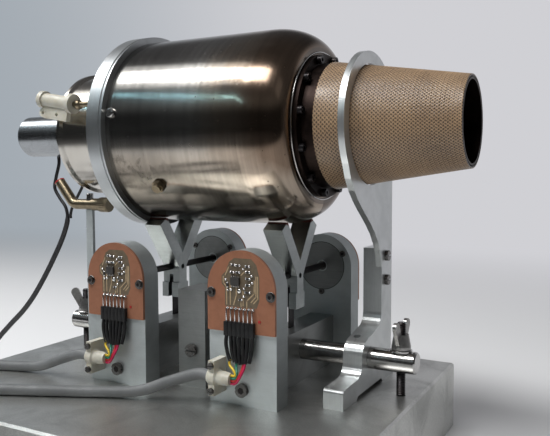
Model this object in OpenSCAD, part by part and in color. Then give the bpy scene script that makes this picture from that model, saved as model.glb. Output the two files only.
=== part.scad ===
// Small turbojet on a bench thrust stand. Millimetres, +Z up, engine axis along X.
// The origin lies under the middle of the two arm axles, on the underside of the base.

/* [Casing] */
// Outer diameter of the casing
casing_d = 110; // [92:1:132]
// Length of the casing from the front cover to its rear face
casing_l = 110; // [92:1:132]
// Wall of the casing
casing_wall = 1; // [0.6:0.1:1.5]
// Length of the rounded rear shoulder
shoulder_l = 25; // [20:1:30]
// Width of the flat rear lip outside the exhaust flange
lip_rim = 2.8; // [2:0.1:4]
// Thickness of the rear lip
lip_t = 2.4; // [2:0.2:4]

/* [Front cover and intake] */
// Height of the cover's rim above the casing
cover_rim = 3.5; // [2:0.5:5]
// Width of the cover's rim
cover_l = 12; // [10:0.5:15]
// Depth of the cover's spigot inside the casing
spigot_l = 8; // [7:0.5:10]
// Diameter of the intake's front lip
bell_d = 78; // [65:0.2:94]
// Length of the intake from the cover to its front lip
bell_l = 43; // [38:1:52]
// Diameter of the starter motor
motor_d = 28; // [24:1:30]
// Length of the starter motor
motor_l = 38; // [32:1:46]
// Length of the tube that carries the starter motor ahead of the intake
starter_tube_l = 26; // [22:1:31]

/* [Rotor] */
// Diameter of the compressor wheel
impeller_d = 66; // [56:1:70]
// Diameter of the compressor wheel's eye
eye_d = 48; // [42:1:52]
// Axial length of the compressor blades
impeller_l = 20; // [18:1:22]
// Pairs of full and splitter blades on the compressor wheel
blade_pairs = 6; // [5:1:8]
// Diameter of the turbine wheel over its blades
turbine_d = 65; // [60:0.5:65.6]
// Number of turbine blades
turbine_blades = 23; // [17:2:27]
// Number of guide vanes ahead of the turbine
guide_vane_count = 15; // [9:1:19]
// Diameter of the shaft at its bearings
journal_d = 8; // [7:0.2:9.6]
// Outer diameter of the shaft bearings
bearing_d = 22; // [20:1:24]
// Width of the shaft bearings
bearing_w = 7; // [6:0.5:8]

/* [Exhaust] */
// Length of the exhaust cone behind the casing
exhaust_l = 82; // [70:1:98]
// Outer diameter of the exhaust cone where it leaves its flange
exhaust_d = 68.8; // [66.6:0.2:82.6]
// Outer diameter of the exhaust cone at its open end
nozzle_d = 44; // [37:1:52]
// Sheet thickness of the exhaust cone
exhaust_wall = 1; // [0.6:0.1:1.5]
// Bare length of the cone between its flange and the heat wrap
bare_l = 6.8; // [6:0.2:10]
// Thickness of the woven heat wrap
wrap_t = 1.6; // [1:0.1:2.2]
// Width of the exhaust flange around the cone
flange_w = 4.8; // [4.8:0.1:6]
// Number of flange bolts
flange_bolt_count = 12; // [8:1:16]

/* [Stand] */
// Reach of the base ahead of the front cover
base_nose = 96; // [80:1:115]
// Reach of the base behind the exhaust foot
base_tail = 27.5; // [23:0.5:33]
// Width of the base
base_w = 206; // [172:1:248]
// Height of the base
base_h = 40; // [33:1:48]
// Distance between the two arm axles
axle_pitch = 83; // [74:1:96]
// Height of the arm axles above the base
axle_h = 61; // [56:1:73]
// Width of the uprights
upright_w = 40; // [36:1:46]
// Thickness of the uprights
upright_t = 12; // [10:0.5:14]
// Clear width between facing uprights
upright_gap = 86; // [80:0.2:103.2]
// Diameter of the arm axles
axle_d = 4; // [3:0.5:5]
// Width of the forked arms along the engine
arm_w = 12; // [10:0.5:12.5]
// Wall of the arms' prongs and stem
arm_t = 8; // [6:0.5:9.5]
// Diameter of the backbone rod
rod_d = 12; // [10:0.5:14]
// Height of the rod's axis above the base
rod_h = 18.5; // [16:0.5:21]
// Thickness of the exhaust foot
foot_t = 11; // [9:0.5:13]
// Thickness of the exhaust ring plate
ring_t = 3.4; // [2.5:0.1:4]
// Diameter of the clamping studs
stud_d = 5; // [4:0.5:6]
// Diameter of the sensor cables
cable_d = 6; // [5:0.5:6.5]

/* [Hidden] */
$fn = 96;

// Clearances: still parts, running shafts, blade tips, and the open seat between pads and casing
fit_gap = 0.05;
run_gap = 0.04;
tip_gap = 0.4;
pad_gap = 0.35;

// Stand heights and places
axle_z = base_h + axle_h;
rod_z = base_h + rod_h;
arm_x = axle_pitch / 2;
upright_y = upright_gap / 2;
base_y0 = -130;

// The engine sits on the arms; its own stations run along X from the cover's rear face
casing_r = casing_d / 2;
engine_x = -arm_x - arm_w / 2 - 0.5;
fork_rise = 31.4;
fork_spread = 20;
pad_t = 1.5;
saddle_r = casing_r + pad_gap + pad_t;
axis_z = axle_z + fork_rise + sqrt(saddle_r * saddle_r - fork_spread * fork_spread);

// Compressor stations and the meridian curves of its hub and shroud
imp_r = impeller_d / 2;
eye_r = eye_d / 2;
imp_front = 2 - cover_l;
imp_back = imp_front + impeller_l;
tip_w = 5;
hub_r = 8;
disc_t = 1.5;
cover_back = imp_back - tip_w;
vane_count = 15;
bore_r = eye_r + tip_gap;
function hub_at(s) =
    [imp_r - (imp_r - hub_r) * cos(90 * s), imp_front + impeller_l * sin(90 * s)];
function shroud_at(s, gap) =
    [imp_r + gap - (imp_r - eye_r) * cos(90 * s),
     imp_front + (impeller_l - tip_w) * sin(90 * s) - gap * sin(90 * s)];

// Shaft stations, front to rear
journal_r = journal_d / 2;
bearing_r = bearing_d / 2;
stub_r = journal_r - 1;
nut_l = 8;
diffuser_back = imp_back + 6;
front_seat = diffuser_back + 1;
tunnel_end = casing_l - 19;
rear_seat = tunnel_end - bearing_w - 2;
tunnel_r = bearing_r + 2.4;
turbine_front = tunnel_end + 12.5;
turbine_w = 6;
turbine_r = turbine_d / 2;
turbine_hub_r = 21.5;
mouth_r = turbine_r + 0.5;
nozzle_ring_r = mouth_r + 2;

// Screws in the casing, the glow plug, and the valve on the cover's near side
screw_count = 4;
screw_angle = 8.5;
screw_e = 4;
screw_r = 1.5;
plug_e = 29.6;
plug_angle = -36;
plug_r = 2.2;
valve_angle = 18.25;
valve_r = bell_d / 2 + 8.91;
valve_y = -valve_r * cos(valve_angle);
valve_z = valve_r * sin(valve_angle);
valve_tilt = 9;
valve_knee = -17;
fitting_r = 1.7;

// Starter tube and the motor's seat on its end
tube_r = motor_d / 2 - 0.6;
tube_bore_r = tube_r - 2.6;
motor_face = -cover_l - bell_l - starter_tube_l;
motor_pin_r = 1.55;

// Combustor stations
liner_r = casing_r - casing_wall - 3.5;
liner_t = 0.6;
inner_liner_r = tunnel_r + 5;
liner_front = diffuser_back + 4;
liner_back = casing_l - shoulder_l + 3;
stick_count = 6;
stick_r = 2.5;
stick_pcd_r = (liner_r + inner_liner_r) / 2 + 7.55;

// Exhaust stations and the cone's radius
exhaust_r = exhaust_d / 2;
nozzle_r = nozzle_d / 2;
flange_r = exhaust_r + flange_w;
flange_t = 2.6;
cone_start = casing_l + flange_t + 0.4;
cone_end = casing_l + exhaust_l;
wrap_start = casing_l + flange_t + bare_l;
wrap_gap = 0.15;
bolt_head_r = 2.2;
bolt_pcd_r = exhaust_r + bolt_head_r + 0.4;
bolt_shank_r = 1.25;
function cone_r(e) =
    exhaust_r + (nozzle_r - exhaust_r) * (e - cone_start) / (cone_end - cone_start);

// Forked arms, their axles and the uprights' bearings
stem_bottom = -19;
slit_w = 2.8;
fork_angle = atan2(fork_spread, fork_rise - 1.5);
fork_l = norm([fork_spread, fork_rise - 1.5]) - 2;
cap_t = 1.6;
cap_r = 15;
bearing_t = 5;
small_bearing_r = 6.5;
axle_half = upright_y + cap_t + bearing_t - 0.2;

// Beams between the uprights, leaf springs in them, and the post between the beams
beam_w = 16;
beam_h = 30;
blade_t = 0.8;
blade_w = 6;
blade_z = rod_z + rod_d / 2 + 1;
post_w = 18;
post_t = 22;
post_h = 55;
post_y = 2 - upright_y;

// Screws on the stand
board_screw_x = upright_w / 2 - 2.4;
board_screw_dz = -2.5;
board_screw_r = 1;
foot_screw_z = 8.5;
foot_screw_r = 2;
clamp_screw_r = 1;

// Strip and bent pipe ahead of the cover
strip_x = engine_x - 51.3;
strip_y = -14;
strip_h = axis_z - bell_d / 2 - base_h - 10.516;
pipe_r = 3.4;
pipe_run = 11;
pipe_bend_r = 7;
pipe_turn = 50;

// Exhaust bracket
foot_x = engine_x + casing_l + 17.5;
neck_y0 = 17.3;
neck_y1 = 34.5;
plate_z = base_h + 54.3;
plate_x = foot_x + foot_t - ring_t;
ring_hole_r = cone_r(plate_x - engine_x) + wrap_t + 1.5;
ring_rim = 5;
plate_screw_z = [4, 18];
plate_screw_y = (neck_y0 + neck_y1) / 2 - 1.5;
plate_screw_r = 1.5;
foot_neck_h = 77;

// The base runs from ahead of the cover to behind the foot; studs stand near the rod's ends
base_x0 = engine_x - base_nose;
base_x1 = foot_x + foot_t + base_tail;
rod_x0 = base_x0 + 17;
rod_x1 = base_x1 - 1;
stud_x = [rod_x0 + 9, rod_x1 - 9];
stud_r = stud_d / 2;
rod_edge = 0.8;
base_edge = 1.2;
flat_z = rod_z + rod_d / 2 - 0.5;
washer_t = 1.2;
wing_gap = 0.3;
wing_z = flat_z + washer_t + wing_gap;

// Sensor boards and their wiring, on the outer face of the front uprights
board_t = 1.6;
board_drop = 22.3;
pin_count = 7;
pin_pitch = 2.54;
housing_w = 2.5;
housing_l = 7.4;
housing_z = axle_z - 24;
gland_y = -upright_y - upright_t - 8;
gland_z = base_h + 16;
gland_r = 4.6;
gland_x0 = -15;
gland_x1 = -2;
clamp_y = gland_y - 3.4;
clamp_screw_z = [-6.6, 6.6];
wire_r = 0.65;
wire_count = 4;
wire_pitch = 1.42;
wire_drop = 9;

// Cord routes: points chosen by hand, from the gland or motor to the start of the coil
left_x = -arm_x;
right_x = arm_x;
left_route = [
    [-56.5, -63, 56], [-64, -63, 56], [-80, -62, 50.5], [-96, -62, 44.5], [-111, -65, 43], [-125, -69, 43],
    [-138, -72.5, 44.5], [-149, -75.5, 43.5], [-158.5, -78, 37], [-166, -80, 27], [-172.5, -81.5, 16],
    [-180, -83, 7], [-189, -84, 3.5], [-199, -84, 3]
];
left_tail = [[-232, -117, 16.5], [-232, -130, 14], [-232, -143, 8], [-232, -152, 6], [-232, -158, 6]];
right_route = [
    [26.5, -63, 56], [19, -63, 56], [3, -66, 50.5], [-13, -71, 44.5], [-32, -78, 43], [-50, -86, 43],
    [-68, -94, 43], [-86, -102, 43], [-102, -111, 43], [-114, -119, 44], [-124, -128, 44.5],
    [-132.5, -137, 41], [-139, -145, 33], [-144, -152, 22], [-148.5, -159, 11], [-153, -167, 4.5],
    [-158, -177, 3]
];
right_tail = [
    [-99, -206.5, 18], [-93.5, -195.5, 15], [-88, -184.5, 8.5], [-83.5, -175.5, 6], [-81, -170.5, 6]
];
lead_route = [
    [-141, 0, 171.5], [-141, 0, 166], [-144, 0, 157], [-145.5, 0, 149.5], [-141, 0, 142.5], [-135.5, 0, 136],
    [-134, 0, 128], [-137, 0, 119], [-142, 0, 109.5], [-148, 0, 100], [-155, 0, 89.5], [-163, 0, 78.5],
    [-172, 0, 67.5], [-182, 0, 57.5], [-194, 0, 47.5], [-206, 0, 37], [-218, 0, 25], [-229, 0, 13],
    [-238, 0, 5], [-247, 0, 2]
];
lead_tail = [[-247, -44, 12], [-238, -44, 10.5], [-229, -44, 6], [-221, -44, 3.5], [-217, -44, 3.5]];
lead_d = 4;

// The lead's second wire leaves it below the pipe and runs up to the starter tube
strand_route = [
    [-112, 0, 171.8], [-112.6, 0, 165.5], [-115.2, 0, 157.5], [-120, 0, 149.7], [-125.2, 0, 142.2],
    [-129.2, 0, 136.2], [-130.9, 0, 131.5], [-131, 0, 128.5]
];

// Flat coils: mean radius, and turns climbing by one cord diameter each
coil_ratio = 5.5;
coil_turns = [2.25, 2.5];
plug_l = 26;

function unit(v) = v / norm(v);
function arc(c, r, a0, a1, n) =
    [for (i = [0 : n]) let (a = a0 + (a1 - a0) * i / n) c + r * [cos(a), sin(a)]];
function flat_polar(r, a) = r * [cos(a), sin(a)];
function bezier(p, n) =
    [for (i = [0 : n]) let (t = i / n, u = 1 - t)
        u * u * u * p[0] + 3 * u * u * t * p[1] + 3 * u * t * t * p[2] + t * t * t * p[3]];

// A point of the engine at radius r, station e, and angle a above the near side
function polar(r, e, a) = [e, -r * cos(a), r * sin(a)];

// Solid through a list of closed rings with the same number of points
module loft(rings) {
    k = len(rings[0]);
    n = len(rings);
    sides = [for (i = [0 : n - 2], j = [0 : k - 1], half = [0, 1])
        let (a = i * k + j, b = i * k + (j + 1) % k)
        half == 0 ? [a, b, b + k] : [a, b + k, a + k]];
    front = [for (j = [1 : k - 2]) [0, j + 1, j]];
    last = (n - 1) * k;
    back = [for (j = [1 : k - 2]) [last, last + j, last + j + 1]];
    polyhedron(points = [for (r = rings) each r], faces = concat(sides, front, back));
}

// Round tube of radius r swept along a list of points; up keeps its rings from twisting
module tube(route, r, sides, up = [0, 0, 1]) {
    n = len(route);
    loft([for (i = [0 : n - 1])
        let (
            t = unit(route[min(i + 1, n - 1)] - route[max(i - 1, 0)]),
            u = unit(cross(up, t)),
            v = cross(t, u)
        )
        [for (j = [0 : sides - 1]) let (a = 360 * j / sides) route[i] + r * (cos(a) * u + sin(a) * v)]
    ]);
}

module turned(profile) rotate([0, 90, 0]) rotate_extrude() polygon(profile);

module rod_along_x(r, x0, x1) translate([x0, 0, 0]) rotate([0, 90, 0]) cylinder(r = r, h = x1 - x0);

module rod_along_y(r, y0, y1) translate([0, y0, 0]) rotate([-90, 0, 0]) cylinder(r = r, h = y1 - y0);

// Places a child, drawn on the near side along -Y, around the engine axis
module around_x(count, first = 0) {
    for (i = [0 : count - 1]) rotate([-first - i * 360 / count, 0, 0]) children();
}

// Extrudes a flat shape drawn in Y and Z along X
module plate_yz(x0, t) translate([x0, 0, 0]) rotate([90, 0, 90]) linear_extrude(t) children();

module on_engine() translate([engine_x, 0, axis_z]) children();

// Engine, still parts

module casing() color("tan") on_engine() difference() {
    r_in = casing_r - casing_wall;
    straight = casing_l - shoulder_l;
    lip_r = flange_r + lip_rim;
    turned(concat(
        [[r_in, 0], [casing_r, 0]],
        [for (a = [0 : 10 : 90])
            [lip_r + (casing_r - lip_r) * cos(a), straight + shoulder_l * sin(a)]],
        [[mouth_r, casing_l], [mouth_r, casing_l - lip_t]],
        [for (a = [90 : -10 : 0])
            [lip_r + (r_in - lip_r) * cos(a), straight + (shoulder_l - lip_t) * sin(a)]]
    ));
    around_x(screw_count, screw_angle)
        translate([screw_e, 0, 0]) rod_along_y(screw_r + fit_gap, -casing_r - 1, -casing_r + 3);
    rotate([-plug_angle, 0, 0])
        translate([plug_e, 0, 0]) rod_along_y(plug_r + fit_gap, -casing_r - 1, -casing_r + 9);
    around_x(flange_bolt_count, 10)
        translate([casing_l - lip_t - 1, -bolt_pcd_r, 0]) rod_along_x(bolt_shank_r + fit_gap, 0, lip_t + 2);
}

module front_cover() color("silver") on_engine() difference() {
    rim_r = casing_r + cover_rim;
    spigot_r = casing_r - casing_wall - fit_gap;
    turned(concat(
        [[bore_r, -cover_l], [rim_r - 1, -cover_l], [rim_r, 1 - cover_l], [rim_r, -2.4],
         [rim_r - 0.6, -2], [rim_r - 0.6, -1.4], [rim_r, -1], [rim_r, 0], [spigot_r, 0],
         [spigot_r, spigot_l], [spigot_r - 3.5, spigot_l], [spigot_r - 3.5, cover_back - tip_gap]],
        [for (i = [8 : -1 : 0]) shroud_at(i / 8, tip_gap)]
    ));
    around_x(screw_count, screw_angle) translate([screw_e, 0, 0])
        rod_along_y(screw_r + fit_gap, -casing_r - 1, -casing_r + 4.4);
    translate([-cover_l - 1, valve_y, valve_z]) rod_along_x(fitting_r + fit_gap, 0, 7);
}

// Intake with its bellmouth, three struts and the starter tube, in one piece
module intake_bell() color("gainsboro") on_engine() {
    bell_r = bell_d / 2;
    front = -cover_l - bell_l;
    throat = -cover_l - 18;
    mouth = bell_r - 2.5;
    turned(concat(
        [for (i = [0 : 6]) let (a = 90 * i / 6)
            [mouth - (mouth - bore_r) * cos(a), throat - (throat - front) * sin(a)]],
        [[bell_r - 0.8, front], [bell_r, front + 0.8], [bell_r, front + 3],
         [bell_r - 1.5, front + 4.5], [bell_r - 1.5, -cover_l], [bell_r - 4, -cover_l],
         [bell_r - 4, front + 11], [bell_r - 9.5, front + 11], [bore_r + 2.5, throat],
         [bore_r + 2.5, -cover_l], [bore_r, -cover_l]]
    ));
    turned([[tube_bore_r, front - starter_tube_l], [tube_r, front - starter_tube_l],
            [tube_r, front + 15], [tube_r - 1.5, front + 18], [tube_bore_r, front + 18]]);
    around_x(3, 30) translate([front + 4, -mouth, -1.5])
        cube([10, mouth - tube_r + 1, 3]);
}

module starter_motor() color("lightgray") on_engine() difference() {
    r = motor_d / 2;
    back = motor_face - motor_l;
    turned([[0, back], [r - 2.5, back], [r - 1, back + 0.5], [r, back + 2], [r, motor_face],
            [tube_bore_r - fit_gap, motor_face], [tube_bore_r - fit_gap, motor_face + 5],
            [0, motor_face + 5]]);
    rod_along_x(motor_pin_r + run_gap, motor_face - 4, motor_face + 6);
}

// Drive shaft and friction cup of the starter, just short of the compressor nut
module starter_clutch() color("dimgray") on_engine() {
    cup_end = imp_front - nut_l - 1.5;
    difference() {
        union() {
            rod_along_x(motor_pin_r, motor_face - 3, motor_face + 6);
            rod_along_x(2.5, motor_face + 5.3, cup_end - 8);
            turned([[0, cup_end - 10], [3, cup_end - 10], [8, cup_end - 7], [8, cup_end],
                    [0, cup_end]]);
        }
        rod_along_x(6, cup_end - 4, cup_end + 1);
    }
}

// Nylon valve beside the intake with its drilled bracket, on the brass pipe that screws into the cover
module fuel_valve() color("antiquewhite") on_engine()
    translate([valve_knee - cover_l, valve_y, valve_z]) rotate([0, valve_tilt, 0]) difference() {
        union() {
            rod_along_x(4.1, -30, -4);
            rod_along_x(5.9, -6.4, -3.4);
            rod_along_x(5.2, -30, -27);
            translate([-26, -1.6, -11]) cube([19, 3.2, 9.5]);
            translate([-27, 0, -7.8]) rod_along_y(2.8, -1.6, 1.6);
        }
        rod_along_x(fitting_r + fit_gap, -9, 0);
        rod_along_x(2.6, -31, -23);
        for (x = [-27, -15.5]) translate([x, 0, -7.8]) rod_along_y(1.1, -2, 2);
    }

// Brass pipe from the cover to the valve, and the glow plug in the casing
module brass_fittings() color("goldenrod") on_engine() {
    translate([-cover_l, valve_y, valve_z]) {
        rod_along_x(fitting_r, valve_knee, 5);
        rotate([0, -90, 0]) cylinder(r = 4.2, h = 5, $fn = 6);
        translate([valve_knee, 0, 0]) sphere(r = fitting_r + 1.2);
        translate([valve_knee, 0, 0]) rotate([0, valve_tilt, 0]) rod_along_x(fitting_r, -8, 0);
    }
    rotate([-plug_angle, 0, 0]) translate([plug_e, 0, 0]) {
        rod_along_y(plug_r, -casing_r, -casing_r + 8);
        translate([0, -casing_r, 0]) rotate([90, 0, 0]) cylinder(r = 3.8, h = 2.4, $fn = 6);
        rod_along_y(2.6, -casing_r - 4, -casing_r - 2);
    }
}

module casing_screws() color("lightgray") on_engine()
    around_x(screw_count, screw_angle) translate([screw_e, 0, 0]) {
        rod_along_y(screw_r, -casing_r, -casing_r + 4);
        difference() {
            translate([0, -casing_r, 0]) rotate([90, 0, 0]) rotate_extrude()
                polygon(concat([[0, 0], [2.9, 0]], arc([1.9, 0.9], 1, 0, 90, 3), [[0, 1.9]]));
            translate([0, -casing_r - 1.9, 0]) cube([6.5, 1.6, 0.7], center = true);
        }
    }

module diffuser() color("darkgray") on_engine() {
    rim_r = casing_r - casing_wall - 7;
    inner_r = imp_r + 2;
    turned([[stub_r + 3.5, imp_back + disc_t + 1], [inner_r - 0.6, imp_back + disc_t + 1],
            [inner_r - 0.6, imp_back], [rim_r, imp_back], [rim_r, imp_back + 4],
            [inner_r - 3, diffuser_back], [stub_r + 3.5, diffuser_back]]);
    around_x(vane_count) translate([cover_back - tip_gap, 0, 0])
        rotate([90, 0, 90]) linear_extrude(imp_back + 1 - cover_back + tip_gap)
            polygon([flat_polar(inner_r, 0), flat_polar(inner_r + 5, 5), flat_polar(rim_r - 1, 17),
                     flat_polar(rim_r - 1, 20), flat_polar(inner_r + 5, 7.5)]);
}

module shaft_tunnel() color("silver") on_engine() turned([
    [bearing_r + fit_gap, diffuser_back], [tunnel_r + 6, diffuser_back],
    [tunnel_r + 6, diffuser_back + 2.5], [tunnel_r, diffuser_back + 4], [tunnel_r, tunnel_end - 2.5],
    [tunnel_r + 3, tunnel_end - 2.5], [tunnel_r + 3, tunnel_end], [bearing_r + fit_gap, tunnel_end],
    [bearing_r + fit_gap, rear_seat], [bearing_r - 2, rear_seat],
    [bearing_r - 2, front_seat + bearing_w], [bearing_r + fit_gap, front_seat + bearing_w]]);

module shaft_bearings() color("gray") on_engine()
    for (e = [front_seat, rear_seat]) turned([
        [journal_r + run_gap, e], [journal_r + 2, e], [journal_r + 2, e + 0.8],
        [bearing_r - 2, e + 0.8], [bearing_r - 2, e], [bearing_r, e], [bearing_r, e + bearing_w],
        [bearing_r - 2, e + bearing_w], [bearing_r - 2, e + bearing_w - 0.8],
        [journal_r + 2, e + bearing_w - 0.8], [journal_r + 2, e + bearing_w],
        [journal_r + run_gap, e + bearing_w]]);

// Annular burner with its vaporiser sticks welded into the rear wall
module combustor() color("peru") on_engine() {
    difference() {
        union() {
            turned([[inner_liner_r, liner_front], [liner_r - 4, liner_front], [liner_r, liner_front + 4],
                    [liner_r, liner_back - 3], [liner_r - 3, liner_back],
                    [nozzle_ring_r + fit_gap, liner_back],
                    [nozzle_ring_r + fit_gap, liner_back - liner_t],
                    [liner_r - 3 - liner_t / 2, liner_back - liner_t],
                    [liner_r - liner_t, liner_back - 3 - liner_t / 2],
                    [liner_r - liner_t, liner_front + 4 + liner_t / 2],
                    [liner_r - 4 - liner_t / 2, liner_front + liner_t],
                    [inner_liner_r + liner_t, liner_front + liner_t],
                    [inner_liner_r + liner_t, tunnel_end - fit_gap], [inner_liner_r, tunnel_end - fit_gap]]);
            around_x(stick_count) translate([0, -stick_pcd_r, 0])
                rod_along_x(stick_r, liner_front + 12, liner_back);
        }
        around_x(stick_count) translate([0, -stick_pcd_r, 0])
            rod_along_x(stick_r - 0.5, liner_front + 11, liner_back + 1);
        rotate([-plug_angle, 0, 0]) translate([plug_e, 0, 0])
            rod_along_y(plug_r + 0.4, -liner_r - 2, -liner_r + 4);
        for (row = [0 : 2]) around_x(12, 15 + 7.5 * row) translate([liner_front + 14 + row * 16, 0, 0])
            rod_along_y(1.5 + 0.5 * row, -liner_r - 1, -liner_r + 2);
    }
}

module fuel_ring() color("goldenrod") on_engine() {
    tube_e = liner_back + 1.5;
    rotate([0, 90, 0]) translate([0, 0, tube_e]) rotate_extrude()
        translate([stick_pcd_r, 0]) circle(r = 1.3, $fn = 24);
    around_x(stick_count) translate([0, -stick_pcd_r, 0]) rod_along_x(0.7, liner_back - 8, tube_e);
}

// Aerofoil section of a vane: chord c along X, leaning by the angle lean, at radius r and angle a
function vane_ring(r, e, a, c, lean, t) = [
    for (q = [[0, 0], [0.25, 0.5], [0.6, 0.42], [1, 0], [0.6, -0.2], [0.25, -0.3]])
        let (du = (q[0] - 0.5) * c, dv = q[1] * t + 1.2 * t * (q[0] - q[0] * q[0]))
        polar(r, e + du * cos(lean) - dv * sin(lean),
              a + (du * sin(lean) + dv * cos(lean)) / r * 180 / PI)
];

module guide_vanes() color("dimgray") on_engine() {
    vane_e = tunnel_end + 6.5;
    turned([[mouth_r, tunnel_end - 3.2], [nozzle_ring_r, tunnel_end - 3.2],
            [nozzle_ring_r, casing_l - lip_t - fit_gap], [mouth_r, casing_l - lip_t - fit_gap]]);
    turned([[stub_r + 3.5, tunnel_end], [turbine_hub_r, tunnel_end],
            [turbine_hub_r, turbine_front - 0.6], [turbine_hub_r - 2, turbine_front - 0.6],
            [turbine_hub_r - 2, tunnel_end + 2], [stub_r + 3.5, tunnel_end + 2]]);
    for (i = [0 : guide_vane_count - 1]) let (a = i * 360 / guide_vane_count)
        loft([vane_ring(turbine_hub_r - 1, vane_e, a, 11, 35, 1.8),
              vane_ring(mouth_r + 0.8, vane_e, a, 11, 35, 2)]);
}

// Steel exhaust cone with its flange, inner bullet and three struts
module exhaust_cone() color("dimgray") on_engine() {
    bullet_r = turbine_hub_r - 1;
    bullet_e = casing_l + 2;
    difference() {
        turned([[mouth_r + 0.2, casing_l], [flange_r, casing_l], [flange_r, casing_l + flange_t],
                [exhaust_r, casing_l + flange_t], [exhaust_r, cone_start], [nozzle_r, cone_end],
                [nozzle_r - exhaust_wall, cone_end], [exhaust_r - exhaust_wall, cone_start],
                [mouth_r + 0.2, cone_start - 0.4]]);
        around_x(flange_bolt_count, 10) translate([casing_l - 1, -bolt_pcd_r, 0])
            rod_along_x(bolt_shank_r + 0.1, 0, flange_t + 2);
    }
    turned(concat([[0, bullet_e + 7], [9, bullet_e + 7], [9, bullet_e], [bullet_r, bullet_e]],
        [for (i = [1 : 7]) let (s = i / 8) [bullet_r * (1 - s * s), bullet_e + 38 * s]],
        [[0, bullet_e + 38]]));
    strut_r = cone_r(bullet_e + 16) - exhaust_wall / 2;
    around_x(3, 60) translate([bullet_e + 4, -strut_r, -0.6]) cube([12, strut_r - bullet_r + 6, 1.2]);
}

module flange_bolts() color("black") on_engine()
    around_x(flange_bolt_count, 10) translate([casing_l + flange_t, -bolt_pcd_r, 0]) {
        rod_along_x(bolt_shank_r, -flange_t - lip_t, 0);
        difference() {
            rod_along_x(bolt_head_r, 0, 2.6);
            translate([1.4, 0, 0]) rotate([0, 90, 0]) cylinder(r = 1.15, h = 2, $fn = 6);
        }
    }

module heat_wrap() color("burlywood") on_engine() turned([
    [cone_r(wrap_start) + wrap_gap, wrap_start], [cone_r(wrap_start) + wrap_t - 0.5, wrap_start],
    [cone_r(wrap_start) + wrap_t, wrap_start + 0.6], [cone_r(cone_end) + wrap_t, cone_end - 0.6],
    [cone_r(cone_end) + wrap_t - 0.5, cone_end], [cone_r(cone_end) + wrap_gap, cone_end]]);

// Rotor

module shaft() color("gray") on_engine() turned([
    [0, imp_front - nut_l + 1], [stub_r, imp_front - nut_l + 1], [stub_r, imp_back + disc_t],
    [journal_r + 1, imp_back + disc_t], [journal_r + 1, front_seat - 0.2], [journal_r, front_seat - 0.2],
    [journal_r, front_seat + bearing_w + 0.2], [journal_r + 2, front_seat + bearing_w + 0.2],
    [journal_r + 2, rear_seat - 0.2], [journal_r, rear_seat - 0.2], [journal_r, tunnel_end - 1.8],
    [journal_r + 1, tunnel_end - 1.8], [journal_r + 1, turbine_front], [stub_r, turbine_front],
    [stub_r, turbine_front + turbine_w + 4], [0, turbine_front + turbine_w + 4]]);

// Cross-section of a compressor blade at s along the flow: hub edge inside the hub, tip at the shroud
function blade_ring(s, lead) =
    let (
        h = hub_at(s),
        o = shroud_at(s, 0),
        a = lead + 55 * (1 - s) * (1 - s),
        root = 0.7,
        tip = 0.35
    )
    [polar(h[0] - 1, h[1] + 0.6, a + root / h[0] * 57.3), polar(h[0] - 1, h[1] + 0.6, a - root / h[0] * 57.3),
     polar(o[0], o[1], a - tip / o[0] * 57.3), polar(o[0], o[1], a + tip / o[0] * 57.3)];

module compressor_wheel() color("whitesmoke") on_engine() difference() {
    union() {
        turned(concat([[0, imp_front - 1], [hub_r - 0.5, imp_front - 1]],
            [for (i = [0 : 10]) hub_at(i / 10)],
            [[imp_r, imp_back + disc_t - 0.4], [12, imp_back + disc_t], [0, imp_back + disc_t]]));
        for (i = [0 : blade_pairs - 1]) let (a = i * 360 / blade_pairs) {
            loft([for (k = [1 : 10]) blade_ring(0.02 + 0.096 * k, a)]);
            loft([for (k = [4 : 10]) blade_ring(0.02 + 0.096 * k, a + 180 / blade_pairs)]);
        }
    }
    rod_along_x(stub_r + 0.02, imp_front - 2, imp_back + disc_t + 1);
}

module turbine_wheel() color("slategray") on_engine() {
    difference() {
        turned([[0, turbine_front], [8, turbine_front], [12, turbine_front + 1.2],
                [turbine_hub_r - 3, turbine_front + 1.2], [turbine_hub_r - 2.4, turbine_front],
                [turbine_hub_r, turbine_front], [turbine_hub_r, turbine_front + turbine_w],
                [turbine_hub_r - 3, turbine_front + turbine_w],
                [10, turbine_front + turbine_w - 1], [8, turbine_front + turbine_w],
                [0, turbine_front + turbine_w]]);
        rod_along_x(stub_r + 0.02, turbine_front - 1, turbine_front + turbine_w + 1);
    }
    for (i = [0 : turbine_blades - 1]) let (a = i * 360 / turbine_blades, e = turbine_front + turbine_w / 2)
        loft([vane_ring(turbine_hub_r - 1, e, a, 6, -30, 1.5),
              vane_ring(turbine_r, e, a, 6.4, -48, 1)]);
}

module rotor_nuts() color("darkgray") on_engine() {
    difference() {
        union() {
            rod_along_x(5.5, imp_front - nut_l + 3, imp_front - 1);
            turned([[0, imp_front - nut_l], [3, imp_front - nut_l], [5, imp_front - nut_l + 3],
                    [0, imp_front - nut_l + 3]]);
        }
        rod_along_x(stub_r + 0.02, imp_front - nut_l + 0.98, imp_front);
    }
    translate([turbine_front + turbine_w, 0, 0]) rotate([0, 90, 0]) difference() {
        cylinder(r = 6, h = 4, $fn = 6);
        translate([0, 0, -1]) cylinder(r = stub_r + 0.02, h = 6);
    }
}

// Arms that carry the engine

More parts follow.
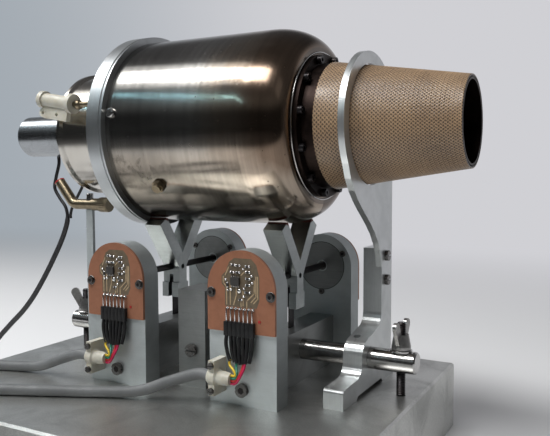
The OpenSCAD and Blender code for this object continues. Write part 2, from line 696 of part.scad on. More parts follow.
// Forked arm in the YZ plane; its square tips have their inner edges cut to seats for the casing
module arm(x) translate([x, 0, axle_z]) difference() {
    union() {
        plate_yz(-arm_w / 2, arm_w) {
            translate([-arm_t / 2, stem_bottom]) square([arm_t, 3 - stem_bottom]);
            for (side = [-1, 1]) translate([0, 1.5]) rotate(-side * fork_angle)
                translate([-arm_t / 2, -1]) square([arm_t, fork_l + 1]);
        }
        translate([-arm_w / 2, -arm_t / 2 - 1.5, stem_bottom]) cube([arm_w, arm_t + 3, 9]);
    }
    translate([-arm_w, 0, axis_z - axle_z]) rod_along_x(saddle_r, 0, 2 * arm_w);
    rod_along_y(axle_d / 2 + 0.02, -arm_t, arm_t);
    translate([-slit_w / 2, -arm_t, stem_bottom - 1]) cube([slit_w, 2 * arm_t, 15]);
    rod_along_x(1.6, axle_d / 2 + 1, arm_w);
}

module left_arm() color("silver") arm(left_x);
module right_arm() color("silver") arm(right_x);

module axle(x) translate([x, 0, axle_z]) rod_along_y(axle_d / 2, -axle_half, axle_half);

module left_axle() color("black") axle(left_x);
module right_axle() color("black") axle(right_x);

// Heat-proof strips between these seats and the casing
module pads(x) intersection() {
    translate([x, 0, axle_z]) plate_yz(-arm_w / 2, arm_w)
        for (side = [-1, 1]) translate([0, 1.5]) rotate(-side * fork_angle)
            translate([-arm_t / 2, 15]) square([arm_t, fork_l - 15]);
    translate([0, 0, axis_z]) difference() {
        rod_along_x(saddle_r, x - arm_w, x + arm_w);
        rod_along_x(saddle_r - pad_t, x - arm_w - 1, x + arm_w + 1);
    }
    translate([x - arm_w, -50, axis_z - 2 * casing_r]) cube([2 * arm_w, 100, 2 * casing_r]);
}

module left_pads() color("saddlebrown") pads(left_x);
module right_pads() color("saddlebrown") pads(right_x);

// Stand

// Section of the base with its chamfered top edges
module edged_box(from, to) polygon([
    [from, 0], [to, 0], [to, base_h - base_edge], [to - base_edge, base_h], [from + base_edge, base_h],
    [from, base_h - base_edge]]);

module base() color("gray") difference() {
    intersection() {
        plate_yz(base_x0, base_x1 - base_x0) edged_box(base_y0, base_y0 + base_w);
        translate([0, base_y0 + base_w, 0]) rotate([90, 0, 0]) linear_extrude(base_w)
            edged_box(base_x0, base_x1);
    }
    for (x = stud_x) translate([x, 0, base_h - 10]) cylinder(r = stud_r + fit_gap, h = 11);
}

// Outline of an upright in X and Z, from the base up to its round head
module upright_outline(bottom) {
    translate([0, axle_h]) circle(r = upright_w / 2);
    translate([-upright_w / 2, bottom]) square([upright_w, axle_h - bottom]);
}

// Upright beside the arm at x, on the near side (-1) or the far side (1)
module upright(x, side) translate([x, 0, base_h]) mirror([0, side > 0 ? 1 : 0, 0]) difference() {
    translate([0, -upright_y, 0]) rotate([90, 0, 0]) linear_extrude(upright_t) upright_outline(0);
    translate([0, 0, axle_h]) {
        rod_along_y(cap_r + fit_gap, -upright_y - cap_t, -upright_y + 1);
        rod_along_y(small_bearing_r + fit_gap, -upright_y - cap_t - bearing_t, -upright_y);
        for (s = [-1, 1]) translate([s * board_screw_x, 0, board_screw_dz])
            rod_along_y(board_screw_r + fit_gap, -upright_y - upright_t - 1, -upright_y - upright_t + 6);
    }
    translate([0, 0, foot_screw_z])
        rod_along_y(foot_screw_r + fit_gap, -upright_y - upright_t - 1, -upright_y - upright_t + 6);
}

module front_left_upright() color("lightsteelblue") upright(left_x, -1);
module front_right_upright() color("lightsteelblue") upright(right_x, -1);
module rear_left_upright() color("lightsteelblue") upright(left_x, 1);
module rear_right_upright() color("lightsteelblue") upright(right_x, 1);

module at_each_upright() {
    for (x = [left_x, right_x], m = [0, 1]) translate([x, 0, axle_z]) mirror([0, m, 0]) children();
}

module bearing_caps() color("gainsboro") at_each_upright() difference() {
    rod_along_y(cap_r, -upright_y - cap_t, -upright_y);
    rod_along_y(axle_d / 2 + 1, -upright_y - cap_t - 1, -upright_y + 1);
}

module axle_bearings() color("gray") at_each_upright() difference() {
    rod_along_y(small_bearing_r, -upright_y - cap_t - bearing_t, -upright_y - cap_t);
    rod_along_y(axle_d / 2 + run_gap, -upright_y - cap_t - bearing_t - 1, -upright_y);
}

module cross_beams() color("silver") for (x = [left_x, right_x]) difference() {
    translate([x - beam_w / 2, -upright_y, base_h]) cube([beam_w, upright_gap, beam_h]);
    translate([0, 0, rod_z]) rod_along_x(rod_d / 2 + fit_gap, x - beam_w, x + beam_w);
    translate([x - blade_t / 2, -blade_w / 2, blade_z]) cube([blade_t, blade_w, beam_h]);
}

module leaf_springs() color("black") for (x = [left_x, right_x])
    translate([x - blade_t / 2, -blade_w / 2, blade_z]) cube([blade_t, blade_w, axle_z - 7 - blade_z]);

module sensor_boards() color("peru") at_each_upright() difference() {
    translate([0, -upright_y - upright_t, -axle_h]) rotate([90, 0, 0]) linear_extrude(board_t)
        upright_outline(axle_h - board_drop);
    for (s = [-1, 1]) translate([s * board_screw_x, 0, board_screw_dz])
        rod_along_y(board_screw_r + 0.1, -upright_y - upright_t - board_t - 1, -upright_y - upright_t + 1);
}

module at_each_board()
    for (x = [left_x, right_x]) translate([x, -upright_y - upright_t - board_t, 0]) children();

module wire_housings() color("black") at_each_board() difference() {
    translate([-pin_count * pin_pitch / 2, -housing_w, housing_z])
        cube([pin_count * pin_pitch, housing_w, housing_l]);
    for (i = [1 : pin_count - 1])
        translate([(i - pin_count / 2) * pin_pitch - 0.15, -housing_w - 1, housing_z - 1])
            cube([0.3, 1.4, housing_l + 2]);
}

// Loose wires that turn from the housings into the gland, nested one under the other
module jumper_wires() color("gold") for (x = [left_x, right_x], i = [0 : wire_count - 1]) {
    px = x + i * pin_pitch;
    y = -upright_y - upright_t - board_t - housing_w / 2;
    z = gland_z + wire_pitch * ((wire_count - 1) / 2 - i);
    run = px - x - gland_x1 - 1;
    tube(concat(
        [[px, y, housing_z], [px, y, housing_z - 6]],
        [for (k = [0 : 5]) let (a = 18 * k)
            [px - run + run * cos(a), y + (gland_y - y) * k / 5, z + wire_drop * (1 - sin(a))]],
        [[px - run - 0.95, gland_y, z]]
    ), wire_r, 8, [0.1, 1, 0]);
}

// Cable gland with its clamp plate, on the near face of each front upright
module cable_glands() color("antiquewhite") for (x = [left_x, right_x]) translate([x, 0, 0]) {
    translate([0, gland_y, gland_z]) turned([
        [0, gland_x0], [cable_d / 2 + 0.6, gland_x0], [gland_r, gland_x0 + 1.5], [gland_r, gland_x0 + 5],
        [gland_r - 1, gland_x0 + 6], [gland_r - 1, gland_x1 - 4], [gland_r - 1.6, gland_x1], [0, gland_x1]]);
    difference() {
        translate([gland_x0 + 1.5, clamp_y, gland_z - 9])
            cube([3.6, -upright_y - upright_t - clamp_y, 18]);
        for (dz = clamp_screw_z) translate([gland_x0 + 3.3, 0, gland_z + dz])
            rod_along_y(clamp_screw_r + fit_gap, clamp_y - 1, -upright_y - upright_t + 1);
    }
}

module mid_post() color("silver") difference() {
    translate([-post_w / 2, post_y, base_h]) cube([post_w, post_t, post_h]);
    translate([0, 0, base_h + 21]) rod_along_y(foot_screw_r + fit_gap, post_y - 1, post_y + 6);
}

module backbone_rod() color("silver") difference() {
    translate([0, 0, rod_z]) turned([
        [0, rod_x0], [rod_d / 2 - rod_edge, rod_x0], [rod_d / 2, rod_x0 + rod_edge],
        [rod_d / 2, rod_x1 - rod_edge], [rod_d / 2 - rod_edge, rod_x1], [0, rod_x1]]);
    for (x = stud_x) translate([x, 0, 0]) {
        translate([0, 0, base_h]) cylinder(r = stud_r + fit_gap, h = rod_h + rod_d);
        translate([-7, -rod_d, flat_z]) cube([14, 2 * rod_d, rod_d]);
    }
}

// Threaded studs with their washers; the rod is clamped between washer and base
module rod_studs() color("black") for (x = stud_x) translate([x, 0, 0]) {
    translate([0, 0, base_h - 10]) cylinder(r = stud_r, h = wing_z + 15 - base_h + 10);
    difference() {
        translate([0, 0, flat_z]) cylinder(r = 6, h = washer_t);
        translate([0, 0, flat_z - 1]) cylinder(r = stud_r - 0.1, h = washer_t + 2);
    }
}

// Screws that show on the uprights, boards, glands, post and bracket
module stand_screws() color("gray") {
    face_y = -upright_y - upright_t;
    for (x = [left_x, right_x]) translate([x, 0, 0]) {
        translate([0, face_y, base_h + foot_screw_z]) pan_screw(foot_screw_r, 3.6, 2, 6);
        for (dz = clamp_screw_z) translate([gland_x0 + 3.3, clamp_y, gland_z + dz])
            pan_screw(clamp_screw_r, 1.7, 1.4, 10);
    }
    at_each_upright() for (s = [-1, 1])
        translate([s * board_screw_x, face_y - board_t, board_screw_dz])
            pan_screw(board_screw_r, 2, 1.4, board_t + 6);
    translate([0, post_y, base_h + 21]) pan_screw(foot_screw_r, 3.6, 2, 6);
    for (dz = plate_screw_z) translate([plate_x + ring_t, plate_screw_y, plate_z + dz]) rotate([0, 0, 90])
        pan_screw(plate_screw_r, 3, 2, ring_t + 6);
}

// Slotted screw whose head stands on a face looking along -Y
module pan_screw(r, head_r, head_h, depth) {
    rod_along_y(r, 0, depth);
    difference() {
        rod_along_y(head_r, -head_h, 0);
        translate([-head_r - 1, -head_h - 0.5, -head_r / 7])
            cube([2 * head_r + 2, head_h / 2 + 0.5, head_r / 3.5]);
    }
}

// Wing nut: round collar with two upright lugs
module wing_nut(x, turn) translate([x, 0, wing_z]) rotate([0, 0, turn]) difference() {
    union() {
        rotate_extrude() polygon([[0, 0], [5.2, 0], [5.2, 1.5], [4, 8], [0, 8]]);
        rotate([90, 0, 0]) translate([0, 0, -1]) linear_extrude(2) for (s = [-1, 1]) hull() {
            translate([s * 3.2, 4]) circle(r = 2.4, $fn = 24);
            translate([s * 7.2, 12.5]) circle(r = 2.8, $fn = 24);
        }
    }
    translate([0, 0, -1]) cylinder(r = stud_r + run_gap, h = 18);
}

module left_wing_nut() color("dimgray") wing_nut(stud_x[0], 35);
module right_wing_nut() color("dimgray") wing_nut(stud_x[1], 86);

// Foot that stands on the base, holds the rod and rises to the exhaust ring
module exhaust_foot() color("silver") difference() {
    plate_yz(foot_x, foot_t) translate([0, base_h]) polygon(concat(
        [[-20, 0], [-38.5, 0]],
        arc([-36.5, 8.5], 2, 180, 90, 4),
        arc([-19.5, 18], 7, -90, -10, 6),
        arc([-3.5, 20.5], 9, 170, 95, 6),
        arc([9.3, 40.5], 8, -80, 0, 6),
        [[neck_y0, foot_neck_h], [neck_y1, foot_neck_h], [neck_y1, 14]],
        arc([38.5, 14], 4, 180, 250, 4),
        [[38.5, 0], [20, 0], [18, 2], [-18, 2]]
    ));
    translate([plate_x, neck_y0 - 20, plate_z]) cube([foot_t, 60, 60]);
    translate([0, 0, rod_z]) rod_along_x(rod_d / 2 + fit_gap, foot_x - 1, foot_x + foot_t + 1);
    translate([foot_x + foot_t / 2 - 1.5, -2, rod_z]) cylinder(r = 2, h = 20);
    for (dz = plate_screw_z) translate([0, plate_screw_y, plate_z + dz])
        rod_along_x(plate_screw_r + fit_gap, plate_x - 6, plate_x + 1);
}

// Ring plate around the exhaust, with its swept leg
module exhaust_ring() color("silver") {
    drop = axis_z - plate_z;
    rim_r = ring_hole_r + ring_rim;
    difference() {
        plate_yz(plate_x, ring_t) translate([0, axis_z]) difference() {
            union() {
                circle(r = rim_r);
                polygon(concat(
                    bezier([[-0.84 * rim_r, -0.543 * rim_r], [-24, -48], [14, 40 - drop],
                            [neck_y0, 12 - drop]], 10),
                    [[neck_y0, -drop], [neck_y1, -drop], [neck_y1, -sqrt(rim_r * rim_r - neck_y1 * neck_y1)],
                     [0, 0]]
                ));
            }
            circle(r = ring_hole_r);
        }
        for (dz = plate_screw_z) translate([0, plate_screw_y, plate_z + dz])
            rod_along_x(plate_screw_r + 0.1, plate_x - 1, plate_x + ring_t + 1);
    }
}

// Upright strip on the base that carries the bent pipe
module pipe_support() color("silver") {
    translate([strip_x - 2.7, strip_y - 1.1, base_h]) cube([5.4, 2.2, strip_h]);
    translate([strip_x - 2.7, strip_y + 1, base_h]) cube([5.4, 12, 3]);
}

module gas_pipe() color("goldenrod") translate([strip_x, strip_y, base_h + strip_h + pipe_r]) {
    rod_along_x(pipe_r, -pipe_run, 4);
    rod_along_x(pipe_r + 0.6, 3.3, 9.5);
    rod_along_x(pipe_r + 1.2, 9.2, 16.5);
    translate([-pipe_run, 0, pipe_bend_r]) rotate([90, 0, 0]) rotate([0, 0, -90 - pipe_turn])
        rotate_extrude(angle = pipe_turn) translate([pipe_bend_r, 0]) circle(r = pipe_r, $fn = 32);
    translate([-pipe_run, 0, pipe_bend_r]) rotate([0, pipe_turn, 0]) translate([0, 0, -pipe_bend_r])
        rod_along_x(pipe_r, -16, 0);
}

// Cords

// A cord's free stretches: from its gland to the coil, and from the coil to its plug
module cord(route, tail, d, up) {
    tube(route, d / 2, d < 4.5 ? 8 : 10, up);
    tube(tail, d / 2, d < 4.5 ? 8 : 10, [0, 0, 1]);
}

// Closed ring that the turns fill, to the left of the way the route ends
module coil(route, d, n) {
    last = len(route) - 1;
    ahead = unit([route[last][0] - route[last - 1][0], route[last][1] - route[last - 1][1]]);
    centre = [route[last][0], route[last][1]] + coil_ratio * d * [-ahead[1], ahead[0]];
    translate(centre) rotate_extrude()
        translate([(coil_ratio - 0.5) * d, 0]) square([d, (n + 1) * d]);
}

// Round in-line connector that carries on from the end of a tail
module round_plug(tail, d) {
    n = len(tail) - 1;
    ahead = tail[n] - tail[n - 1];
    translate(tail[n]) rotate([0, 0, atan2(ahead[1], ahead[0])]) turned([
        [0, 0], [d / 2 + 0.6, 0], [d / 2 + 1.6, 8], [d, 8], [d, plug_l - 8], [d - 0.8, plug_l - 8],
        [d - 0.8, plug_l], [d - 1.8, plug_l], [d - 1.8, plug_l - 5], [0, plug_l - 5]]);
}

module left_cable() color("lightgray") cord(left_route, left_tail, cable_d, [0, 0, 1]);
module left_coil() color("lightgray") coil(left_route, cable_d, coil_turns[0]);
module left_plug() color("black") round_plug(left_tail, cable_d);
module right_cable() color("lightgray") cord(right_route, right_tail, cable_d, [0, 0, 1]);
module right_coil() color("lightgray") coil(right_route, cable_d, coil_turns[1]);
module right_plug() color("black") round_plug(right_tail, cable_d);
module motor_lead() color("black") {
    cord(lead_route, lead_tail, lead_d, [0, 1, 0]);
    tube(strand_route, lead_d / 4, 8, [0, 1, 0]);
}
module lead_coil() color("black") coil(lead_route, lead_d, coil_turns[1]);

// Two-pole plug in a square shell
module lead_plug() color("black") translate(lead_tail[len(lead_tail) - 1]) difference() {
    translate([0, -5, -3]) cube([16, 10, 6]);
    for (y = [-2.4, 2.4]) translate([10, y - 1.6, -1.6]) cube([7, 3.2, 3.2]);
}

casing();
front_cover();
intake_bell();
starter_motor();
starter_clutch();
fuel_valve();
brass_fittings();
casing_screws();
diffuser();
shaft_tunnel();
shaft_bearings();
combustor();
fuel_ring();
guide_vanes();
exhaust_cone();
flange_bolts();
heat_wrap();
shaft();
compressor_wheel();
turbine_wheel();
rotor_nuts();
left_arm();
right_arm();
left_axle();
right_axle();
left_pads();
right_pads();
base();
front_left_upright();
front_right_upright();
rear_left_upright();
rear_right_upright();
bearing_caps();
axle_bearings();
cross_beams();
leaf_springs();
sensor_boards();
wire_housings();
jumper_wires();
cable_glands();
mid_post();
backbone_rod();
rod_studs();
stand_screws();
left_wing_nut();
right_wing_nut();
exhaust_foot();
exhaust_ring();
pipe_support();
gas_pipe();
left_cable();
left_coil();
left_plug();
right_cable();
right_coil();
right_plug();
motor_lead();
lead_coil();
lead_plug();
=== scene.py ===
import math
import random

import bmesh
import bpy
from mathutils import Matrix, Vector


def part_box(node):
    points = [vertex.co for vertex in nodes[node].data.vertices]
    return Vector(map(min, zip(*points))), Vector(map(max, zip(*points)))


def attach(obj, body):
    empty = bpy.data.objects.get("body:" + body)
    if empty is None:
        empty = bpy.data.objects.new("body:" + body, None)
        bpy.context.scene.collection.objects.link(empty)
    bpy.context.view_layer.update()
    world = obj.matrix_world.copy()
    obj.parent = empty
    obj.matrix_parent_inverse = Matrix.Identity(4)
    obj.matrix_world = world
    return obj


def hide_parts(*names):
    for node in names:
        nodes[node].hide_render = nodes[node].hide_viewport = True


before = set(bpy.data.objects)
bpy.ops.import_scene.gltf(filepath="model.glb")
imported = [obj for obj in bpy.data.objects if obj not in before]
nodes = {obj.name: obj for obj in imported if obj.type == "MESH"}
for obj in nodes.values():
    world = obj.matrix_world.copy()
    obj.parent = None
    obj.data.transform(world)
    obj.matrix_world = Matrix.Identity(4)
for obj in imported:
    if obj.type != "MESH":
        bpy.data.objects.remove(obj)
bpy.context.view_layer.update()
scene = bpy.context.scene
scene.view_settings.view_transform = "Standard"
mm = 0.001
axisZ = 0.185616  # height of the engine's axis
coverX = -0.048  # rear face of the front cover, where the engine's stations start
casingL, casingR = 0.110, 0.055
boardX = (-41.5, 41.5)  # middles of the two wired boards, in millimetres
boardFace = -0.0566  # near face of their copper
pinPitch, pinCount = 2.54, 7
nearWay = (0, -1, 0)  # from the boards towards the viewer

# camera, solved from the photograph
viewFrom = {"place": (0.2211, -0.3509, 0.1615), "ahead": (-0.4751, 0.8771, -0.0697), "roll": -0.17, "lens": 44.8}
cameraData = bpy.data.cameras.new("viewCamera")
cameraData.lens = viewFrom["lens"]
cameraData.sensor_width = 36
cameraData.clip_start = 0.01
camera = bpy.data.objects.new("viewCamera", cameraData)
turn = Vector(viewFrom["ahead"]).to_track_quat("-Z", "Y").to_matrix().to_4x4()
camera.matrix_world = (Matrix.Translation(viewFrom["place"]) @ turn
                       @ Matrix.Rotation(math.radians(viewFrom["roll"]), 4, "Z"))
scene.collection.objects.link(camera)
scene.camera = camera


# node helpers: most return the socket that carries on
def addNode(tree, kind, links=None, values=None, **settings):
    made = tree.nodes.new("ShaderNode" + kind)
    for name, value in settings.items():
        setattr(made, name, value)
    for name, value in (values or {}).items():
        made.inputs[name].default_value = value
    for name, socket in (links or {}).items():
        tree.links.new(socket, made.inputs[name])
    return made


def objectPlace(tree):
    return addNode(tree, "TexCoord").outputs["Object"]


def stretched(tree, place, scale):
    return addNode(tree, "Mapping", {"Vector": place}, {"Scale": scale}).outputs["Vector"]


def cloud(tree, place, scale, detail=4.0, rough=0.55, twist=0.0):
    values = {"Scale": scale, "Detail": detail, "Roughness": rough, "Distortion": twist}
    return addNode(tree, "TexNoise", {"Vector": place}, values).outputs["Fac"]


def ranged(tree, value, lowIn, highIn, lowOut, highOut, kind="LINEAR"):
    values = {"From Min": lowIn, "From Max": highIn, "To Min": lowOut, "To Max": highOut}
    return addNode(tree, "MapRange", {"Value": value}, values, interpolation_type=kind).outputs["Result"]


def eased(tree, *limits):
    return ranged(tree, *limits, kind="SMOOTHSTEP")


def ramped(tree, value, stops):
    made = addNode(tree, "ValToRGB", {"Fac": value})
    points = made.color_ramp.elements
    while len(points) < len(stops):
        points.new(0.5)
    for point, (where, colour) in zip(points, stops):
        point.position = where
        point.color = (*colour, 1)
    return made.outputs["Color"]


def blended(tree, share, first, second, how="MIX"):
    made = addNode(tree, "Mix", data_type="RGBA", blend_type=how)
    for socket, value in ((made.inputs[0], share), (made.inputs[6], first), (made.inputs[7], second)):
        if hasattr(value, "links"):
            tree.links.new(value, socket)
        else:
            socket.default_value = value if isinstance(value, float) else (*value, 1)
    return made.outputs[2]


def shadedBy(tree, colour, share):
    grey = addNode(tree, "CombineXYZ", {"X": share, "Y": share, "Z": share}).outputs[0]
    return blended(tree, 1.0, colour, grey, "MULTIPLY")


def sums(tree, how, first, second=None, clamp=False):
    made = addNode(tree, "Math", operation=how, use_clamp=clamp)
    for socket, value in zip(made.inputs, (first, second)):
        if value is not None and hasattr(value, "links"):
            tree.links.new(value, socket)
        elif value is not None:
            socket.default_value = value
    return made.outputs[0]


def times(tree, first, second):
    return sums(tree, "MULTIPLY", first, second)


def plus(tree, first, second, clamp=False):
    return sums(tree, "ADD", first, second, clamp)


def relief(tree, height, strength, depth, under=None):
    links = {"Height": height}
    if under is not None:
        links["Normal"] = under
    return addNode(tree, "Bump", links, {"Strength": strength, "Distance": depth}).outputs["Normal"]


def newFinish(name, values):
    made = bpy.data.materials.new(name)
    made.use_nodes = True
    tree = made.node_tree
    shader = tree.nodes["Principled BSDF"]
    for key, value in values.items():
        shader.inputs[key].default_value = value
    return made, tree, shader


def feed(tree, shader, colour, rough, normal):
    for name, socket in (("Base Color", colour), ("Roughness", rough), ("Normal", normal)):
        tree.links.new(socket, shader.inputs[name])


def aroundAxis(tree, place):
    # station along the engine, way round it and distance from its axis, all in metres
    parts = addNode(tree, "SeparateXYZ", {"Vector": place}).outputs
    up = sums(tree, "SUBTRACT", parts["Z"], axisZ)
    arc = times(tree, sums(tree, "ARCTAN2", parts["Y"], up), casingR)
    radius = sums(tree, "SQRT", plus(tree, times(tree, up, up), times(tree, parts["Y"], parts["Y"])))
    links = {"X": parts["X"], "Y": arc, "Z": radius}
    return addNode(tree, "CombineXYZ", links).outputs["Vector"], parts["X"], arc


# metals: brushed lines, cloudy stains and a little uneven gloss; sides is the share of colour kept on faces across X,
# painted shade on the sides
def metalFinish(name, colour, stain, rough, brush, metallic=1.0, turned=False, streak=0.12, stainScale=60.0,
                stainShare=0.6, lineDepth=0.12, pits=0.0, pitDepth=0.25, sides=0.0):
    made, tree, shader = newFinish(name, {"Metallic": metallic})
    place = objectPlace(tree)
    lined = aroundAxis(tree, place)[0] if turned else place
    lines = cloud(tree, stretched(tree, lined, brush), 1.0, 3.0, 0.65)
    stains = cloud(tree, place, stainScale, 5.0, 0.62, 0.6)
    base = blended(tree, eased(tree, stains, 0.38, 0.72, 0.0, stainShare), colour, stain)
    speck = ranged(tree, lines, 0.25, 0.75, 1.0 - streak, 1.0)
    # painted shade: faces turned along X are darkened, so that tops stay lighter than sides
    if sides:
        facing = addNode(tree, "NewGeometry").outputs["Normal"]
        sideways = sums(tree, "ABSOLUTE", addNode(tree, "SeparateXYZ", {"Vector": facing}).outputs["X"])
        speck = times(tree, speck, ranged(tree, sideways, 0.5, 0.95, 1.0, sides))
    uneven = plus(tree, times(tree, lines, 0.6), times(tree, stains, 0.4))
    fine = relief(tree, lines, lineDepth, 0.00004)
    if pits:
        fine = relief(tree, cloud(tree, place, pits, 3.0, 0.7), pitDepth, 0.00006, fine)
    feed(tree, shader, shadedBy(tree, base, speck), ranged(tree, uneven, 0.3, 0.7, *rough), fine)
    return made


satinAluminium = metalFinish(
    "satinAluminium", colour=(0.60, 0.64, 0.645), stain=(0.48, 0.515, 0.52), rough=(0.46, 0.60), brush=(60, 60, 1600),
    metallic=0.82, streak=0.10, stainScale=45.0, lineDepth=0.10, pits=2600.0, pitDepth=0.10, sides=0.72)
sawnAluminium = metalFinish(
    "sawnAluminium", colour=(0.62, 0.64, 0.64), stain=(0.50, 0.52, 0.52), rough=(0.26, 0.42), brush=(1500, 50, 50),
    metallic=0.86, streak=0.14, stainScale=70.0, lineDepth=0.18)
armAluminium = metalFinish(
    "armAluminium", colour=(0.40, 0.425, 0.42), stain=(0.30, 0.32, 0.32), rough=(0.28, 0.44), brush=(60, 60, 1500),
    streak=0.16, stainScale=80.0, lineDepth=0.16)
dullAluminium = metalFinish(
    "dullAluminium", colour=(0.32, 0.33, 0.325), stain=(0.22, 0.23, 0.225), rough=(0.34, 0.50), brush=(60, 60, 1600),
    metallic=0.9, streak=0.16, stainScale=45.0, lineDepth=0.14, pits=1800.0, pitDepth=0.10)
turnedAluminium = metalFinish(
    "turnedAluminium", colour=(0.50, 0.52, 0.53), stain=(0.41, 0.425, 0.435), rough=(0.30, 0.44), brush=(2600, 25, 25),
    turned=True, streak=0.12, stainScale=40.0, lineDepth=0.14)
polishedAluminium = metalFinish(
    "polishedAluminium", colour=(0.52, 0.495, 0.455), stain=(0.42, 0.39, 0.345), rough=(0.12, 0.24),
    brush=(1900, 30, 30), turned=True, streak=0.08, stainScale=30.0, lineDepth=0.08)
motorCan = metalFinish(
    "motorCan", colour=(0.31, 0.325, 0.34), stain=(0.25, 0.26, 0.27), rough=(0.20, 0.32), brush=(40, 1300, 40),
    turned=True, streak=0.10, stainScale=55.0, lineDepth=0.10)
blackSteel = metalFinish(
    "blackSteel", colour=(0.022, 0.020, 0.022), stain=(0.050, 0.038, 0.034), rough=(0.28, 0.46), brush=(900, 900, 900),
    metallic=0.7, streak=0.25, stainScale=160.0, lineDepth=0.15)
darkSteel = metalFinish(
    "darkSteel", colour=(0.18, 0.174, 0.168), stain=(0.09, 0.08, 0.075), rough=(0.22, 0.38), brush=(700, 700, 700),
    streak=0.20, stainScale=240.0, lineDepth=0.25)
brightSteel = metalFinish(
    "brightSteel", colour=(0.52, 0.51, 0.50), stain=(0.38, 0.37, 0.355), rough=(0.12, 0.25), brush=(1400, 40, 40),
    streak=0.14, stainScale=110.0, lineDepth=0.12)
agedBrass = metalFinish(
    "agedBrass", colour=(0.28, 0.23, 0.155), stain=(0.15, 0.12, 0.08), rough=(0.26, 0.46), brush=(900, 60, 60),
    streak=0.18, stainScale=260.0, lineDepth=0.15)
burntSteel = metalFinish(
    "burntSteel", colour=(0.024, 0.017, 0.015), stain=(0.050, 0.033, 0.027), rough=(0.36, 0.56), brush=(500, 60, 60),
    turned=True, streak=0.25, stainScale=120.0, lineDepth=0.15)
wingSteel = metalFinish(
    "wingSteel", colour=(0.42, 0.41, 0.40), stain=(0.25, 0.24, 0.23), rough=(0.26, 0.42), brush=(700, 700, 700),
    streak=0.20, stainScale=200.0, lineDepth=0.25)
basePlate = metalFinish(
    "basePlate", colour=(0.74, 0.745, 0.72), stain=(0.50, 0.505, 0.488), rough=(0.32, 0.50), brush=(1250, 1250, 1250),
    streak=0.30, stainScale=38.0, stainShare=0.9, lineDepth=0.20, pits=600.0, pitDepth=0.20)


# casing: rolled stainless, brushed round, straw to brown where it ran hot
def makeTintedSteel():
    look = {"cool": (0.53, 0.515, 0.485), "warm": (0.56, 0.49, 0.41), "straw": (0.44, 0.36, 0.285),
            "brown": (0.25, 0.18, 0.132), "rim": (0.20, 0.16, 0.13), "soot": (0.05, 0.04, 0.033), "smudge": 0.35,
            "rimEdge": (casingL - 0.00015, casingL - 0.00005), "sootEnd": (0.026, 0.050), "underArc": (-0.132, -0.100),
            "underCool": 0.26, "upperArc": (-0.108, -0.090), "upperHeat": (0.50, 0.74), "sootTop": (-0.106, -0.098),
            "sootLow": (-0.128, -0.120)}
    # painted shade: the casing darkened underneath towards the exhaust, low down beside the cover, along the top and
    # high up beside the cover; their limits and shares on the way round, in metres, and along the casing, as a share of
    # it
    paintedShadings = {"underneath": ((-0.134, -0.108, 1.0, 0.0), (0.62, 0.85, 0.48, 0.0)),
             "nearCover": ((-0.106, -0.090, 1.0, 0.0), (0.20, 0.60, 0.40, 0.0)),
             "onTop": ((-0.038, -0.016, 0.0, 1.0), (0.0, 1.0, 0.38, 0.38)),
             "overCover": ((-0.094, -0.080, 0.0, 1.0), (0.15, 0.55, 0.36, 0.0))}
    made, tree, shader = newFinish("tintedSteel", {"Metallic": 1.0, "Anisotropic": 0.5, "Anisotropic Rotation": 0.25})
    tree.links.new(addNode(tree, "Tangent", direction_type="RADIAL", axis="X").outputs[0], shader.inputs["Tangent"])
    place = objectPlace(tree)
    lined, station, arc = aroundAxis(tree, place)
    along = ranged(tree, station, coverX, coverX + casingL, 0.0, 1.0)
    wander = cloud(tree, lined, 26.0, 4.0, 0.6, 0.8)
    heat = plus(tree, along, ranged(tree, wander, 0.3, 0.7, -0.07, 0.07))
    under = eased(tree, arc, *look["underArc"], 1.0, 0.0)
    heat = sums(tree, "SUBTRACT", heat, times(tree, under, look["underCool"]))
    tint = ramped(tree, heat, [(0.0, look["warm"]), (0.50, look["warm"]), (0.74, look["straw"]),
                               (0.86, look["brown"]), (1.0, look["brown"])])
    upper = times(tree, eased(tree, arc, *look["upperArc"], 0.0, 1.0), eased(tree, heat, *look["upperHeat"], 1.0, 0.0))
    tint = blended(tree, upper, tint, look["cool"])
    rimStart, rimEnd = look["rimEdge"]
    tint = blended(tree, eased(tree, station, coverX + rimStart, coverX + rimEnd, 0.0, 1.0), tint, look["rim"])
    lines = cloud(tree, stretched(tree, lined, (2400, 14, 1)), 1.0, 3.0, 0.7)
    bands = cloud(tree, stretched(tree, lined, (330, 5, 1)), 1.0, 2.0, 0.5)
    shade = times(tree, ranged(tree, lines, 0.25, 0.75, 0.74, 1.0), ranged(tree, bands, 0.3, 0.7, 0.80, 1.0))
    # each painted shade darkens the casing's colour by its share
    for wayRound, lengthwise in paintedShadings.values():
        shadeShare = times(tree, eased(tree, arc, *wayRound), eased(tree, along, *lengthwise))
        shade = times(tree, shade, sums(tree, "SUBTRACT", 1.0, shadeShare))
    # soot in a patch beside the cover, and fine dark flecks all over
    spots = cloud(tree, stretched(tree, lined, (160, 110, 1)), 1.0, 5.0, 0.75, 0.4)
    sootStart, sootEnd = look["sootEnd"]
    nearBy = eased(tree, station, coverX + sootStart, coverX + sootEnd, 1.0, 0.0)
    band = times(tree, eased(tree, arc, *look["sootTop"], 1.0, 0.0), eased(tree, arc, *look["sootLow"], 0.0, 1.0))
    soot = times(tree, times(tree, nearBy, band), eased(tree, spots, 0.50, 0.60, 0.0, look["smudge"]))
    flecks = eased(tree, cloud(tree, place, 420.0, 2.0, 0.5), 0.70, 0.76, 0.0, 0.5)
    dirt = sums(tree, "MAXIMUM", soot, flecks)
    colour = shadedBy(tree, blended(tree, dirt, tint, look["soot"]), shade)
    uneven = plus(tree, times(tree, lines, 0.5), times(tree, wander, 0.5))
    rough = plus(tree, ranged(tree, uneven, 0.3, 0.7, 0.10, 0.25), times(tree, dirt, 0.3))
    feed(tree, shader, colour, rough, relief(tree, lines, 0.18, 0.00004))
    return made


tintedSteel = makeTintedSteel()


